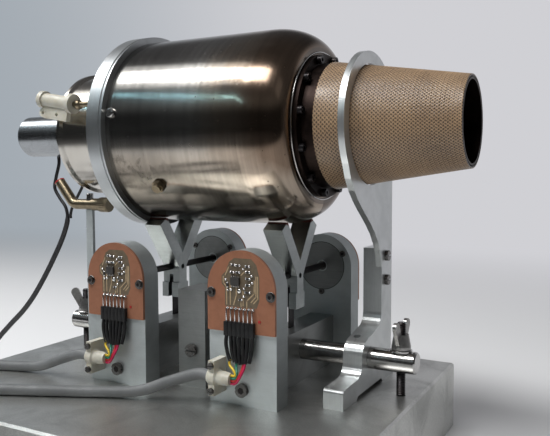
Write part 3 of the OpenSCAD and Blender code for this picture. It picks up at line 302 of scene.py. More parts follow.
# plastics, rubber and boards: soft colour change, fine surface and a dull or waxy gloss
def plasticFinish(name, colour, stain, rough, specular=0.5, inner=0.0, patchScale=120.0, skinScale=1500.0,
                  skinDepth=0.12):
    values = {"Metallic": 0.0, "Specular IOR Level": specular}
    if inner:
        values.update({"Subsurface Weight": inner, "Subsurface Radius": (0.0012, 0.0009, 0.0006)})
    made, tree, shader = newFinish(name, values)
    place = objectPlace(tree)
    patches = cloud(tree, place, patchScale, 4.0, 0.6, 0.5)
    skin = cloud(tree, place, skinScale, 3.0, 0.6)
    feed(tree, shader, blended(tree, eased(tree, patches, 0.35, 0.7, 0.0, 1.0), colour, stain),
         ranged(tree, patches, 0.3, 0.7, *rough), relief(tree, skin, skinDepth, 0.00008))
    return made


nylon = plasticFinish("nylon", colour=(0.62, 0.60, 0.52), stain=(0.52, 0.49, 0.40), rough=(0.32, 0.48), inner=0.25,
                      skinScale=900.0)
greyJacket = plasticFinish("greyJacket", colour=(0.172, 0.178, 0.180), stain=(0.136, 0.141, 0.143), rough=(0.40, 0.56),
                           specular=0.3, patchScale=60.0, skinScale=700.0)
blackJacket = plasticFinish("blackJacket", colour=(0.012, 0.012, 0.014), stain=(0.024, 0.023, 0.024),
                            rough=(0.30, 0.45), patchScale=80.0, skinScale=800.0)
blackPlastic = plasticFinish("blackPlastic", colour=(0.006, 0.006, 0.007), stain=(0.012, 0.011, 0.011),
                             rough=(0.40, 0.58), specular=0.35, patchScale=300.0)
boardCopper = metalFinish(
    "boardCopper", colour=(0.385, 0.167, 0.096), stain=(0.305, 0.136, 0.078), rough=(0.42, 0.60), brush=(500, 60, 60),
    metallic=0.45, streak=0.08, stainScale=180.0, lineDepth=0.05)
boardResin = plasticFinish("boardResin", colour=(0.142, 0.106, 0.066), stain=(0.105, 0.080, 0.050), rough=(0.42, 0.60),
                           patchScale=400.0, skinScale=2500.0)
trackCopper = plasticFinish("trackCopper", colour=(0.46, 0.34, 0.20), stain=(0.38, 0.27, 0.16), rough=(0.35, 0.5),
                            patchScale=700.0)
solder = metalFinish(
    "solder", colour=(0.70, 0.70, 0.69), stain=(0.52, 0.52, 0.52), rough=(0.12, 0.30), brush=(700, 700, 700),
    streak=0.15, stainScale=700.0, lineDepth=0.3)
partBody = plasticFinish("partBody", colour=(0.030, 0.028, 0.027), stain=(0.045, 0.042, 0.04), rough=(0.40, 0.55),
                         patchScale=900.0)
redMark = plasticFinish("redMark", colour=(0.48, 0.02, 0.02), stain=(0.36, 0.015, 0.015), rough=(0.3, 0.45))
heatPad = plasticFinish("heatPad", colour=(0.16, 0.055, 0.045), stain=(0.10, 0.035, 0.03), rough=(0.55, 0.75),
                        patchScale=400.0, skinDepth=0.4)
wireColours = {
    "wireYellow": ((0.72, 0.50, 0.03), (0.60, 0.40, 0.02)), "wireGreen": ((0.02, 0.22, 0.13), (0.015, 0.17, 0.10)),
    "wireRed": ((0.48, 0.02, 0.02), (0.38, 0.015, 0.015)), "wireCrimson": ((0.55, 0.02, 0.09), (0.45, 0.015, 0.07))}
wireFinish = {name: plasticFinish(name, *pair, rough=(0.32, 0.45)) for name, pair in wireColours.items()}


def makeWrapCloth():
    # tan glass cloth: painted highlight on the thread tops, painted shade in the holes between the threads
    look = {"thread": (0.39, 0.25, 0.136), "worn": (0.26, 0.161, 0.088), "hole": (0.034, 0.021, 0.013),
            "top": (0.62, 0.45, 0.285)}
    made, tree, shader = newFinish("wrapCloth", {"Metallic": 0.0, "Sheen Weight": 0.12, "Sheen Roughness": 0.4,
                                                 "Coat Weight": 0.45, "Coat Roughness": 0.24})
    place = objectPlace(tree)
    patches = cloud(tree, place, 55.0, 5.0, 0.6, 0.6)
    fibre = cloud(tree, place, 2600.0, 3.0, 0.7)
    height = addNode(tree, "Attribute", attribute_name="threadTop").outputs["Fac"]
    cloth = blended(tree, eased(tree, patches, 0.35, 0.7, 0.0, 1.0), look["thread"], look["worn"])
    # painted highlight on the highest thread tops
    cloth = blended(tree, eased(tree, height, 0.88, 1.0, 0.0, 0.8), cloth, look["top"])
    # painted shade in the holes between the threads
    cloth = blended(tree, eased(tree, height, 0.48, 0.90, 1.0, 0.0), cloth, look["hole"])
    feed(tree, shader, shadedBy(tree, cloth, ranged(tree, fibre, 0.3, 0.7, 0.86, 1.06)),
         ranged(tree, height, 0.1, 0.9, 0.85, 0.52), relief(tree, fibre, 0.25, 0.00006))
    return made


wrapCloth = makeWrapCloth()
print("finishes: %d" % len(bpy.data.materials))


# mesh helpers
def circle(count):
    return [(math.cos(2 * math.pi * k / count), math.sin(2 * math.pi * k / count)) for k in range(count)]


def between(rows, sides, closed=False):
    # quads between rings of points that follow each other; closed joins the last ring to the first
    return [(i * sides + k, i * sides + (k + 1) % sides, (i + 1) % rows * sides + (k + 1) % sides,
             (i + 1) % rows * sides + k) for i in range(rows if closed else rows - 1) for k in range(sides)]


def capped(rows, sides):
    # the same with both ends filled
    return between(rows, sides) + [tuple(range(sides))[::-1], tuple((rows - 1) * sides + k for k in range(sides))]


def headings(line):
    last = len(line) - 1
    return [(line[min(i + 1, last)] - line[max(i - 1, 0)]).normalized() for i in range(last + 1)]


def placed(name, data, body):
    made = bpy.data.objects.new(name, data)
    scene.collection.objects.link(made)
    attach(made, body)
    return made


def pieceFrom(name, verts, faces, finishes, body, faceFinish=None):
    mesh = bpy.data.meshes.new(name)
    mesh.from_pydata([tuple(v) for v in verts], [], faces)
    for finish in finishes:
        mesh.materials.append(finish)
    mesh.polygons.foreach_set("use_smooth", [True] * len(mesh.polygons))
    if faceFinish:
        mesh.polygons.foreach_set("material_index", faceFinish)
    mesh.update()
    return placed(name, mesh, body)


class Lump:
    # collects small solids into one mesh; mark is the place of a solid's finish in the piece's list
    def __init__(self):
        self.verts, self.faces, self.marks = [], [], []

    def add(self, verts, faces, mark=0):
        first = len(self.verts)
        self.verts += verts
        self.faces += [tuple(first + i for i in f) for f in faces]
        self.marks += [mark] * len(faces)

    def box(self, low, high, mark, bevel):
        work = bmesh.new()
        bmesh.ops.create_cube(work, size=1.0)
        for v in work.verts:
            v.co = [(a + b) / 2 + c * (b - a) for a, b, c in zip(low, high, v.co)]
        bmesh.ops.bevel(work, geom=work.edges[:], offset=bevel, segments=2, affect="EDGES", profile=0.6)
        work.verts.index_update()
        self.add([v.co.copy() for v in work.verts], [[v.index for v in f.verts] for f in work.faces], mark)
        work.free()

    def spun(self, centre, axis, profile, mark, sides):
        # profile: (radius, distance along axis) from one end to the other
        axis = Vector(axis).normalized()
        side = axis.orthogonal().normalized()
        other = axis.cross(side)
        self.add([Vector(centre) + axis * along + (side * c + other * s) * radius
                  for radius, along in profile for c, s in circle(sides)], capped(len(profile), sides), mark)

    def tube(self, path, radius, mark, sides=10):
        verts = []
        up = Vector((0.13, 0.21, 0.97))
        for point, ahead in zip(path, headings(path)):
            side = ahead.cross(up).normalized()
            up = side.cross(ahead).normalized()
            verts += [point + (side * c + up * s) * radius for c, s in circle(sides)]
        self.add(verts, capped(len(path), sides), mark)

    def piece(self, name, finishes, body, slotName, smoothAngle=40):
        made = pieceFrom(name, self.verts, self.faces, finishes, body, self.marks)
        work = bmesh.new()
        work.from_mesh(made.data)
        bmesh.ops.recalc_face_normals(work, faces=work.faces)
        for edge in work.edges:
            edge.smooth = len(edge.link_faces) == 2 and edge.calc_face_angle(0) < math.radians(smoothAngle)
        work.to_mesh(made.data)
        work.free()
        return made


def turnedPiece(name, corners, sides, finish, body, slotName, smoothAngle=30):
    # closed outline of (station, radius) points turned about the engine's axis
    lump = Lump()
    lump.add([Vector((x, r * c, axisZ + r * s)) for c, s in circle(sides) for x, r in corners],
             between(sides, len(corners), True))
    return lump.piece(name, [finish], body, slotName, smoothAngle)


def smoothThrough(points, per=8):
    # curve through all the points, finely stepped
    pts = [Vector(p) for p in points]
    out = []
    for i in range(len(pts) - 1):
        a, b, c, d = pts[max(i - 1, 0)], pts[i], pts[i + 1], pts[min(i + 2, len(pts) - 1)]
        for k in range(per):
            t = k / per
            out.append(0.5 * (2 * b + (c - a) * t + (2 * a - 5 * b + 4 * c - d) * t * t
                              + (3 * b - a - 3 * c + d) * t * t * t))
    return out + [pts[-1]]


# cords: the route out of the stand, a flat coil and a short tail with its plug, in millimetres
cords = {
    "leftCable": {
        "route": [(-56.5, -63, 56), (-64, -63, 56), (-80, -62, 50.5), (-96, -62, 44.5), (-111, -65, 43),
                  (-125, -69, 43), (-138, -72.5, 44.5), (-149, -75.5, 43.5), (-158.5, -78, 37), (-166, -80, 27),
                  (-172.5, -81.5, 16), (-180, -83, 7), (-189, -84, 3.5), (-199, -84, 3)],
        "tail": [(-232, -117, 16.5), (-232, -130, 14), (-232, -143, 8), (-232, -152, 6), (-232, -158, 6)],
        "thick": 6, "turns": 2.25, "nodes": ("left_cable", "left_coil"), "plug": "left_plug"},
    "rightCable": {
        "route": [(26.5, -63, 56), (19, -63, 56), (3, -66, 50.5), (-13, -71, 44.5), (-32, -78, 43), (-50, -86, 43),
                  (-68, -94, 43), (-86, -102, 43), (-102, -111, 43), (-114, -119, 44), (-124, -128, 44.5),
                  (-132.5, -137, 41), (-139, -145, 33), (-144, -152, 22), (-148.5, -159, 11), (-153, -167, 4.5),
                  (-158, -177, 3)],
        "tail": [(-99, -206.5, 18), (-93.5, -195.5, 15), (-88, -184.5, 8.5), (-83.5, -175.5, 6), (-81, -170.5, 6)],
        "thick": 6, "turns": 2.5, "nodes": ("right_cable", "right_coil"), "plug": "right_plug"},
    "motorLead": {
        "route": [(-141, 0, 171.5), (-141, 0, 166), (-144, 0, 157), (-145.5, 0, 149.5), (-141, 0, 142.5),
                  (-135.5, 0, 136), (-134, 0, 128), (-137, 0, 119), (-142, 0, 109.5), (-148, 0, 100),
                  (-155, 0, 89.5), (-163, 0, 78.5), (-172, 0, 67.5), (-182, 0, 57.5), (-194, 0, 47.5),
                  (-206, 0, 37), (-218, 0, 25), (-229, 0, 13), (-238, 0, 5), (-247, 0, 2)],
        "tail": [(-247, -44, 12), (-238, -44, 10.5), (-229, -44, 6), (-221, -44, 3.5), (-217, -44, 3.5)],
        "thick": 4, "turns": 2.5, "nodes": ("motor_lead", "lead_coil"), "plug": "lead_plug", "fork": 131}}
strand = {"route": [(-112, 0, 171.8), (-112.6, 0, 165.5), (-115.2, 0, 157.5), (-120, 0, 149.7), (-125.2, 0, 142.2),
                    (-129.2, 0, 136.2), (-130.9, 0, 131.5), (-131, 0, 128.5)], "thick": 2}
coilRatio = 5.5  # mean radius of a coil in cord diameters
coilSteps = 28  # points in one turn of a coil


def cordLine(cord):
    route = [Vector(p) for p in cord["route"]]
    flat = (route[-1] - route[-2]).to_2d().normalized()
    reach = coilRatio * cord["thick"]
    centre = route[-1].to_2d() + reach * Vector((-flat.y, flat.x))
    first = math.atan2(route[-1].y - centre.y, route[-1].x - centre.x)
    steps = int(cord["turns"] * coilSteps)
    coil = []
    for k in range(1, steps):
        share = k / steps
        a = first + 2 * math.pi * cord["turns"] * share
        lift = cord["thick"] * cord["turns"] * share
        coil.append(Vector((centre.x + reach * math.cos(a), centre.y + reach * math.sin(a), route[-1].z + lift)))
    tail = [Vector(p) for p in cord["tail"]]
    line = smoothThrough(route)[:-1] + smoothThrough([route[-1]] + coil + [tail[0]], 2)[:-1] + smoothThrough(tail)
    return [p * mm for p in line], centre * mm, reach * mm


def plainTube(name, line, thick, finish):
    curve = bpy.data.curves.new(name, "CURVE")
    curve.dimensions = "3D"
    curve.bevel_depth = thick / 2 * mm
    curve.bevel_resolution = 5
    curve.use_fill_caps = True
    spline = curve.splines.new("POLY")
    spline.points.add(len(line) - 1)
    for point, at in zip(spline.points, line):
        point.co = (*at, 1)
    spline.use_smooth = True
    curve.materials.append(finish)
    return placed(name, curve, "stand")


def twinTube(name, line, cord, finish):
    # flat twin lead: two round wires side by side, their web as narrow waist; above the fork one wire alone
    half = cord["thick"] / 4 * mm
    single, change = 1.15 * half, 0.004
    outline = []
    for side in (1, -1):
        for k in range(9):
            a = math.radians(-120 + 30 * k)
            outline.append((side * (half + half * math.cos(a)), side * half * math.sin(a)))
    ring = [(single * math.cos(math.atan2(y, x)), single * math.sin(math.atan2(y, x))) for x, y in outline]
    verts = []
    across = Vector((1, 0, 0))
    for point, ahead in zip(line, headings(line)):
        across = (across - ahead * across.dot(ahead)).normalized()
        rise = ahead.cross(across)
        share = min(1.0, max(0.0, (cord["fork"] * mm - point.z) / change))
        shape = [(a + (c - a) * share, b + (d - b) * share) for (a, b), (c, d) in zip(ring, outline)]
        verts += [point + across * x + rise * y for x, y in shape]
    return pieceFrom(name, verts, capped(len(line), len(outline)), [finish], "stand")


def makeTie(name, cord, centre, reach):
    # strap round the coil's turns, where the turns stand highest, with a small lock on top
    tie = {"angle": 20, "wide": 0.55, "halfBand": 0.0016, "skin": 0.0006, "low": 0.0004, "room": 0.0002,
           "lockTall": 0.0012, "lockEdge": 0.0003}
    thick = cord["thick"] * mm
    low, high = tie["low"], thick * (cord["turns"] + 1) - tie["room"]
    swing = math.radians(tie["angle"])
    away = Vector((math.cos(swing), math.sin(swing), 0))
    along = Vector((-away.y, away.x, 0))
    middle = Vector((centre.x, centre.y, 0)) + away * reach
    wide, band = thick * tie["wide"], tie["halfBand"]
    verts, faces = [], []
    for s in (-1, 1):
        for grow in (0.0, tie["skin"]):
            for x, z in ((-wide, low), (wide, low), (wide, high), (-wide, high)):
                verts.append(middle + away * (x + math.copysign(grow, x)) + along * (s * band)
                             + Vector((0, 0, z + (grow if z == high else -grow * 0.5))))
    for k in range(4):
        n = (k + 1) % 4
        faces += [(k, n, 4 + n, 4 + k), (8 + n, 8 + k, 12 + k, 12 + n), (4 + k, 4 + n, 12 + n, 12 + k),
                  (n, k, 8 + k, 8 + n)]
    lump = Lump()
    lump.add(verts, faces)
    lump.box(middle + Vector((-band, -band, high)), middle + Vector((band, band, high + tie["lockTall"])), 0,
             tie["lockEdge"])
    return lump.piece(name, [blackPlastic], "stand", "black_plastic")


for name, cord in cords.items():
    line, centre, reach = cordLine(cord)
    if name == "motorLead":
        made = twinTube(name, line, cord, blackJacket)
    else:
        made = plainTube(name, line, cord["thick"], greyJacket)
    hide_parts(*cord["nodes"])
    tie = makeTie(name + "Tie", cord, centre, reach)
strandLine = [p * mm for p in smoothThrough(strand["route"])]
strandWire = plainTube("leadStrand", strandLine, strand["thick"], blackJacket)
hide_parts("motor_lead")


# floor, sky and lamps: pale wall behind, dim room in front, long soft light overhead
stageLook = {"floor": (0.86, 0.862, 0.868), "floorWorn": (0.82, 0.823, 0.832), "dim": (0.05, 0.05, 0.052),
             "wallLeft": (0.36, 0.40, 0.44), "wallRight": (0.63, 0.63, 0.66), "beside": (0.09, 0.09, 0.092),
             "front": (0.028, 0.029, 0.030), "frontHigh": (0.24, 0.25, 0.25), "above": (0.10, 0.10, 0.104),
             "reach": 6.0, "drop": 0.0002, "leftEdge": (-0.80, -0.40), "rightEdge": (0.50, 0.80),
             "frontLift": (0.22, 0.52), "backEdge": (-0.30, 0.10), "ceiling": (0.30, 0.64), "dimEdge": (-0.52, -0.33),
             "farEdge": (0.15, 1.1)}


def wallColour(tree, direction):
    parts = addNode(tree, "SeparateXYZ", {"Vector": direction}).outputs
    leftward = eased(tree, parts["X"], *stageLook["leftEdge"], 0.0, 1.0)
    tone = blended(tree, leftward, stageLook["wallLeft"], stageLook["wallRight"])
    return parts, blended(tree, eased(tree, parts["X"], *stageLook["rightEdge"], 0.0, 1.0), tone, stageLook["beside"])


def makeSky():
    sky = bpy.data.worlds.new("sky")
    sky.use_nodes = True
    tree = sky.node_tree
    parts, wall = wallColour(tree, addNode(tree, "TexCoord").outputs["Generated"])
    upward = eased(tree, parts["Z"], *stageLook["frontLift"], 0.0, 1.0)
    ahead = blended(tree, upward, stageLook["front"], stageLook["frontHigh"])
    room = blended(tree, eased(tree, parts["Y"], *stageLook["backEdge"], 0.0, 1.0), ahead, wall)
    room = blended(tree, eased(tree, parts["Z"], *stageLook["ceiling"], 0.0, 1.0), room, stageLook["above"])
    tree.links.new(room, tree.nodes["Background"].inputs["Color"])
    scene.world = sky


def makeFloor():
    made, tree, shader = newFinish("floorPaint", {"Metallic": 0.0, "Roughness": 0.65})
    place = objectPlace(tree)
    parts = addNode(tree, "SeparateXYZ", {"Vector": place}).outputs
    # painted shade: the floor goes dark in front of the stand, standing in for the dim room's shade
    paintedFloorShade = eased(tree, parts["Y"], *stageLook["dimEdge"], 1.0, 0.0)
    soft = cloud(tree, place, 9.0, 3.0, 0.5)
    pale = blended(tree, ranged(tree, soft, 0.3, 0.7, 0.0, 0.25), stageLook["floor"], stageLook["floorWorn"])
    tree.links.new(blended(tree, paintedFloorShade, pale, stageLook["dim"]), shader.inputs["Base Color"])
    # far behind, the floor goes over into the wall's own tone
    outward = addNode(tree, "VectorMath", {0: place}, operation="NORMALIZE").outputs["Vector"]
    glow = addNode(tree, "Emission", {"Color": wallColour(tree, outward)[1]}, {"Strength": 1.0})
    path = addNode(tree, "LightPath").outputs
    seen = plus(tree, plus(tree, path["Is Camera Ray"], path["Is Glossy Ray"]), path["Is Transmission Ray"], True)
    far = eased(tree, parts["Y"], *stageLook["farEdge"], 0.0, 1.0)
    mixed = addNode(tree, "MixShader", {0: times(tree, far, seen), 1: shader.outputs[0], 2: glow.outputs[0]})
    tree.links.new(mixed.outputs[0], tree.nodes["Material Output"].inputs["Surface"])
    side = stageLook["reach"]
    mesh = bpy.data.meshes.new("floor")
    mesh.from_pydata([(-side, -side, 0), (side, -side, 0), (side, side, 0), (-side, side, 0)], [], [(0, 1, 2, 3)])
    mesh.materials.append(made)
    floor = bpy.data.objects.new("floor", mesh)
    floor.location.z = -stageLook["drop"]
    scene.collection.objects.link(floor)


def addLamp(name, lamp):
    data = bpy.data.lights.new(name, "AREA")
    data.shape = "RECTANGLE"
    data.size, data.size_y = lamp["size"]
    data.energy = lamp["power"]
    data.color = lamp.get("tone", (1, 1, 1))
    made = bpy.data.objects.new(name, data)
    made.location = lamp["at"]
    ahead = (Vector(lamp["aim"]) - Vector(lamp["at"])).normalized()
    rise = (-ahead).cross(Vector(lamp.get("along", (1, 0, 0)))).normalized()
    side = rise.cross(-ahead).normalized()
    made.rotation_mode = "QUATERNION"
    made.rotation_quaternion = Matrix((side, rise, -ahead)).transposed().to_quaternion()
    scene.collection.objects.link(made)


lamps = {
    "overhead": {"at": (-0.62, -0.34, 0.97), "aim": (-0.05, -0.02, 0.15), "along": (0.89, -0.45, 0),
                 "size": (1.05, 0.20), "power": 6.0},
    "overheadGlow": {"at": (-0.631, -0.346, 0.986), "aim": (-0.05, -0.02, 0.15), "along": (0.89, -0.45, 0),
                     "size": (1.05, 0.44), "power": 1.8},
    "tubeLamp": {"at": (-0.66, -0.75, 0.78), "aim": (0.0, -0.02, 0.19), "along": (0.85, 0, -0.52),
                 "size": (0.86, 0.008), "power": 0.36, "tone": (0.46, 0.86, 1.0)},
    "frontFill": {"at": (-0.1, -0.75, 1.35), "aim": (0.0, 0.0, 0.08), "size": (0.8, 0.4), "power": 13.0},
    "sideFill": {"at": (0.9, -0.55, 0.95), "aim": (0.05, 0.0, 0.08), "size": (0.4, 0.4), "power": 0.12}}
makeSky()
makeFloor()
for name, lamp in lamps.items():
    addLamp(name, lamp)
print("stage and lamps set")


# CAD pieces that keep their shape get their finish here
finishOf = {
    tintedSteel: ["casing"],
    turnedAluminium: ["front_cover"],
    polishedAluminium: ["intake_bell"],
    motorCan: ["starter_motor"],
    satinAluminium: ["front_left_upright", "front_right_upright", "rear_left_upright", "rear_right_upright",
                     "bearing_caps", "pipe_support"],
    dullAluminium: ["cross_beams", "mid_post"],
    armAluminium: ["left_arm", "right_arm"],
    sawnAluminium: ["exhaust_foot", "exhaust_ring", "diffuser", "shaft_tunnel", "compressor_wheel"],
    brightSteel: ["backbone_rod", "casing_screws", "shaft", "shaft_bearings", "axle_bearings"],
    blackSteel: ["flange_bolts", "left_axle", "right_axle", "leaf_springs", "rod_studs"],
    darkSteel: ["stand_screws", "starter_clutch", "rotor_nuts", "turbine_wheel", "guide_vanes"],
    wingSteel: ["left_wing_nut", "right_wing_nut"],
    burntSteel: ["exhaust_cone", "combustor"],
    agedBrass: ["brass_fittings", "gas_pipe", "fuel_ring"],
    nylon: ["fuel_valve", "cable_glands"],
    boardCopper: ["sensor_boards"],
    heatPad: ["left_pads", "right_pads"],
    basePlate: ["base"],
    blackPlastic: ["wire_housings", "left_plug", "right_plug", "lead_plug"],
    wireFinish["wireYellow"]: ["jumper_wires"],
    wrapCloth: ["heat_wrap"]}
for finish, names in finishOf.items():
    for name in names:
        nodes[name].data.materials.clear()
        nodes[name].data.materials.append(finish)
print("CAD finishes set")


# heat wrap: woven glass cloth, drawn thread by thread as a height over the cone
def makeWrap():
    weave = {"start": 0.0714, "end": 0.1440, "bigR": 0.03466, "smallR": 0.0236, "cells": 96, "rows": 34, "fine": 5,
             "lift": 0.0007, "skin": 0.0009, "wide": 0.6, "narrow": 1.5, "under": 0.86, "edgeHeight": 0.45,
             "edgeRise": 6, "farEdge": 0.3, "turnIn": 0.0001}
    around, along = weave["cells"] * weave["fine"], weave["rows"] * weave["fine"]
    verts, heights = [], []
    for j in range(along + 1):
        v = j / along
        x = weave["start"] + (weave["end"] - weave["start"]) * v
        radius = weave["bigR"] + (weave["smallR"] - weave["bigR"]) * v
        edge = min(1.0, weave["edgeRise"] * v, weave["edgeRise"] * (1 - v) + weave["farEdge"])
        for i in range(around):
            u = i / around
            # two sets of threads cross on the slant and pass over each other in turn
            p = u * weave["cells"] + v * weave["rows"]
            q = u * weave["cells"] - v * weave["rows"]
            first, second = abs(math.sin(math.pi * p)) ** weave["wide"], abs(math.sin(math.pi * q)) ** weave["narrow"]
            over = (math.floor(p) + math.floor(q)) % 2
            top = max(first * (1.0 if over else weave["under"]), second * (weave["under"] if over else 1.0))
            a = 2 * math.pi * u
            r = radius + weave["lift"] * (top - 1.0) * edge
            verts.append((x, -r * math.cos(a), axisZ + r * math.sin(a)))
            heights.append(top)
    faces = [(j * around + i, (j + 1) * around + i, (j + 1) * around + (i + 1) % around, j * around + (i + 1) % around)
             for j in range(along) for i in range(around)]
    # turned-in edges and a plain inner side close the cloth
    ends = []
    for j, station, inner in ((0, weave["start"] + weave["turnIn"], weave["bigR"] - weave["skin"]),
                              (along, weave["end"], weave["smallR"] - weave["skin"])):
        first = len(verts)
        verts += [(station, -inner * c, axisZ + inner * s) for c, s in circle(around)]
        heights += [weave["edgeHeight"]] * around
        for i in range(around):
            n = (i + 1) % around
            ring = (j * around + i, j * around + n, first + n, first + i)
            faces.append(ring if j == 0 else ring[::-1])
        ends.append(first)
    near, far = ends
    faces += [(near + i, near + (i + 1) % around, far + (i + 1) % around, far + i) for i in range(around)]
    made = pieceFrom("wrapWeave", verts, faces, [wrapCloth], "engine")
    # threadTop: the thread height that the cloth's painted highlight and painted shade follow
    store = made.data.attributes.new("threadTop", "FLOAT", "POINT")
    store.data.foreach_set("value", heights)
    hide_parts("heat_wrap")


makeWrap()
print("heat wrap woven")


# clamping studs with their thread and washers
def makeStuds():
    stud = {"places": (-0.118, 0.108), "low": 0.0405, "high": 0.0800, "radius": 0.0025, "pitch": 0.0009, "root": 0.84,
            "washer": [(0.0058, 0.0640), (0.0060, 0.0642), (0.0060, 0.0650), (0.0058, 0.0652)]}
    radius, pitch, root = stud["radius"], stud["pitch"], stud["radius"] * stud["root"]
    profile = [(radius * 0.8, stud["low"])]
    for k in range(int((stud["high"] - stud["low"]) / pitch)):
        z = stud["low"] + k * pitch
        profile += [(root, z + 0.1 * pitch), (radius, z + 0.45 * pitch), (radius, z + 0.6 * pitch)]
    profile += [(root, stud["high"] - 0.0004), (radius * 0.7, stud["high"])]
    lump = Lump()
    for x in stud["places"]:
        lump.spun((x, 0, 0), (0, 0, 1), profile, 0, 28)
        lump.spun((x, 0, 0), (0, 0, 1), stud["washer"], 1, 40)
    made = lump.piece("studThreads", [blackSteel, brightSteel], "stand", "black_steel", 30)
    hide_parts("rod_studs")


makeStuds()
print("studs threaded")


# sensor boards: etched window with its tracks, parts, solder and pin row
def makeBoards():
    # places and sizes in millimetres from the board's middle and the floor, solder profiles in metres
    board = {"window": [(-9.2, 92), (-9.2, 101.5), (-11.2, 103.5), (-11.2, 107.5), (-8.6, 110), (-6.5, 115),
                        (-3.5, 117), (6.5, 117), (9.5, 114), (11.2, 108), (11.2, 96), (9.5, 92)],
             "tracks": [[(-10.2, 107), (-10.2, 104), (-8.2, 102), (-8.2, 93)], [(10.2, 108), (10.2, 97), (7.8, 94.5)],
                        [(9.2, 108), (9.2, 98), (6.4, 95)], [(-6, 104), (-6, 93)], [(-2.4, 102), (-2.4, 98), (-4, 93)],
                        [(8.2, 106), (8.2, 99.5), (3.8, 95.5), (3.8, 92)], [(1.6, 100), (1.6, 93)],
                        [(-7, 112), (-9, 108)], [(2.2, 110), (0.5, 108.4)], [(0.4, 96), (0.4, 92.5)]],
             "trackHalf": 0.28, "chip": (-2.7, 105.2, 5.2, 4.0), "legPitch": 1.27,
             "parts": [(-1.2, 113.2, 1.6, 0.9), (-4.0, 113.4, 1.6, 0.9), (4.4, 113.0, 1.7, 0.9), (4.6, 110.2, 1.7, 0.9),
                       (4.6, 106.8, 1.8, 1.0), (4.5, 103.6, 1.8, 1.0), (4.4, 99.8, 2.2, 1.1), (-7.6, 103.0, 1.2, 1.6),
                       (0.2, 95.8, 1.2, 1.2), (-4.7, 109.7, 1.5, 0.9), (-1.3, 109.7, 1.5, 0.9)],
             "blobs": [(-0.6, 100.2, 1.3), (6.9, 108.4, 0.8), (-5.4, 100.6, 0.8), (7.2, 104.8, 0.8), (2.0, 111.6, 0.7),
                       (-8.6, 105.6, 0.7), (-7.4, 100.2, 0.7), (2.2, 97.6, 0.8), (2.4, 101.6, 0.7)],
             "red": (11.2, 85.4, 0.75), "pinZ": 91.0, "pinHalf": 0.32, "pinEnds": (83.5, 91.2), "pinOut": (1.60, 0.95),
             "legHalf": (0.21, 0.55), "legOut": 0.75, "chipOut": (1.5, 0.15), "partOut": 0.75,
             "joint": [(0.00075, 0), (0.0007, 0.0003), (0.0005, 0.0006), (0.0002, 0.0007)],
             "pinJoint": [(0.0010, 0), (0.0009, 0.0004), (0.00055, 0.0010), (0.00025, 0.0013)]}
    legWide, legLong = board["legHalf"]
    pinHalf, (pinLow, pinHigh), (pinOut, pinIn) = board["pinHalf"], board["pinEnds"], board["pinOut"]
    resin, copper, body, tin, red = range(5)
    lump = Lump()
    for x0 in boardX:
        def at(x, z, out):
            return Vector(((x0 + x) * mm, boardFace - out * mm, z * mm))

        count = len(board["window"])
        lump.add([at(x, z, out) for out in (0.03, -0.2) for x, z in board["window"]],
                 [tuple(range(count)), tuple(range(count, 2 * count))[::-1]] + between(2, count), resin)
        for track in board["tracks"]:
            for (xa, za), (xb, zb) in zip(track, track[1:]):
                way = Vector((xb - xa, zb - za)).normalized() * board["trackHalf"]
                side = Vector((-way.y, way.x))
                corners = [(xa - way.x + side.x, za - way.y + side.y), (xb + way.x + side.x, zb + way.y + side.y),
                           (xb + way.x - side.x, zb + way.y - side.y), (xa - way.x - side.x, za - way.y - side.y)]
                lump.add([at(x, z, out) for out in (0.07, 0.0) for x, z in corners],
                         [(0, 1, 2, 3), (0, 4, 5, 1), (1, 5, 6, 2), (2, 6, 7, 3), (3, 7, 4, 0), (4, 7, 6, 5)], copper)
        x, z, wide, high = board["chip"]
        chipOut, chipIn = board["chipOut"]
        lump.box(at(x - wide / 2, z - high / 2, chipOut), at(x + wide / 2, z + high / 2, chipIn), body, 0.00018)
        for k in range(4):
            px = x + (k - 1.5) * board["legPitch"]
            for side in (-1, 1):
                pz = z + side * (high / 2 + 0.5)
                lump.box(at(px - legWide, pz - legLong, board["legOut"]), at(px + legWide, pz + legLong, 0.0), tin,
                         0.00008)
        for x, z, wide, high in board["parts"]:
            lump.box(at(x - wide / 2, z - high / 2, board["partOut"]), at(x + wide / 2, z + high / 2, 0.0), body,
                     0.0001)
            for side in (-0.55, 0.55):
                cx, cz = (x + side * wide, z) if wide >= high else (x, z + side * high)
                lump.spun(at(cx, cz, 0), nearWay, board["joint"], tin, 12)
        for x, z, r in board["blobs"]:
            lump.spun(at(x, z, 0), nearWay, [(r * mm, 0), (r * 0.95 * mm, 0.0003), (r * 0.65 * mm, 0.0007),
                                             (r * 0.2 * mm, 0.0009)], tin, 16)
        x, z, r = board["red"]
        lump.spun(at(x, z, 0), nearWay, [(r * mm, 0), (r * mm, 0.0003), (r * 0.5 * mm, 0.0005)], red, 16)
        for k in range(pinCount):
            px = (k - 3) * pinPitch
            lump.spun(at(px, board["pinZ"], 0), nearWay, board["pinJoint"], tin, 14)
            lump.box(at(px - pinHalf, pinLow, pinOut), at(px + pinHalf, pinHigh, pinIn), tin, 0.0001)
    lump.piece("boardParts", [boardResin, trackCopper, partBody, solder, redMark], "stand", "copper_board")


makeBoards()
print("boards filled")


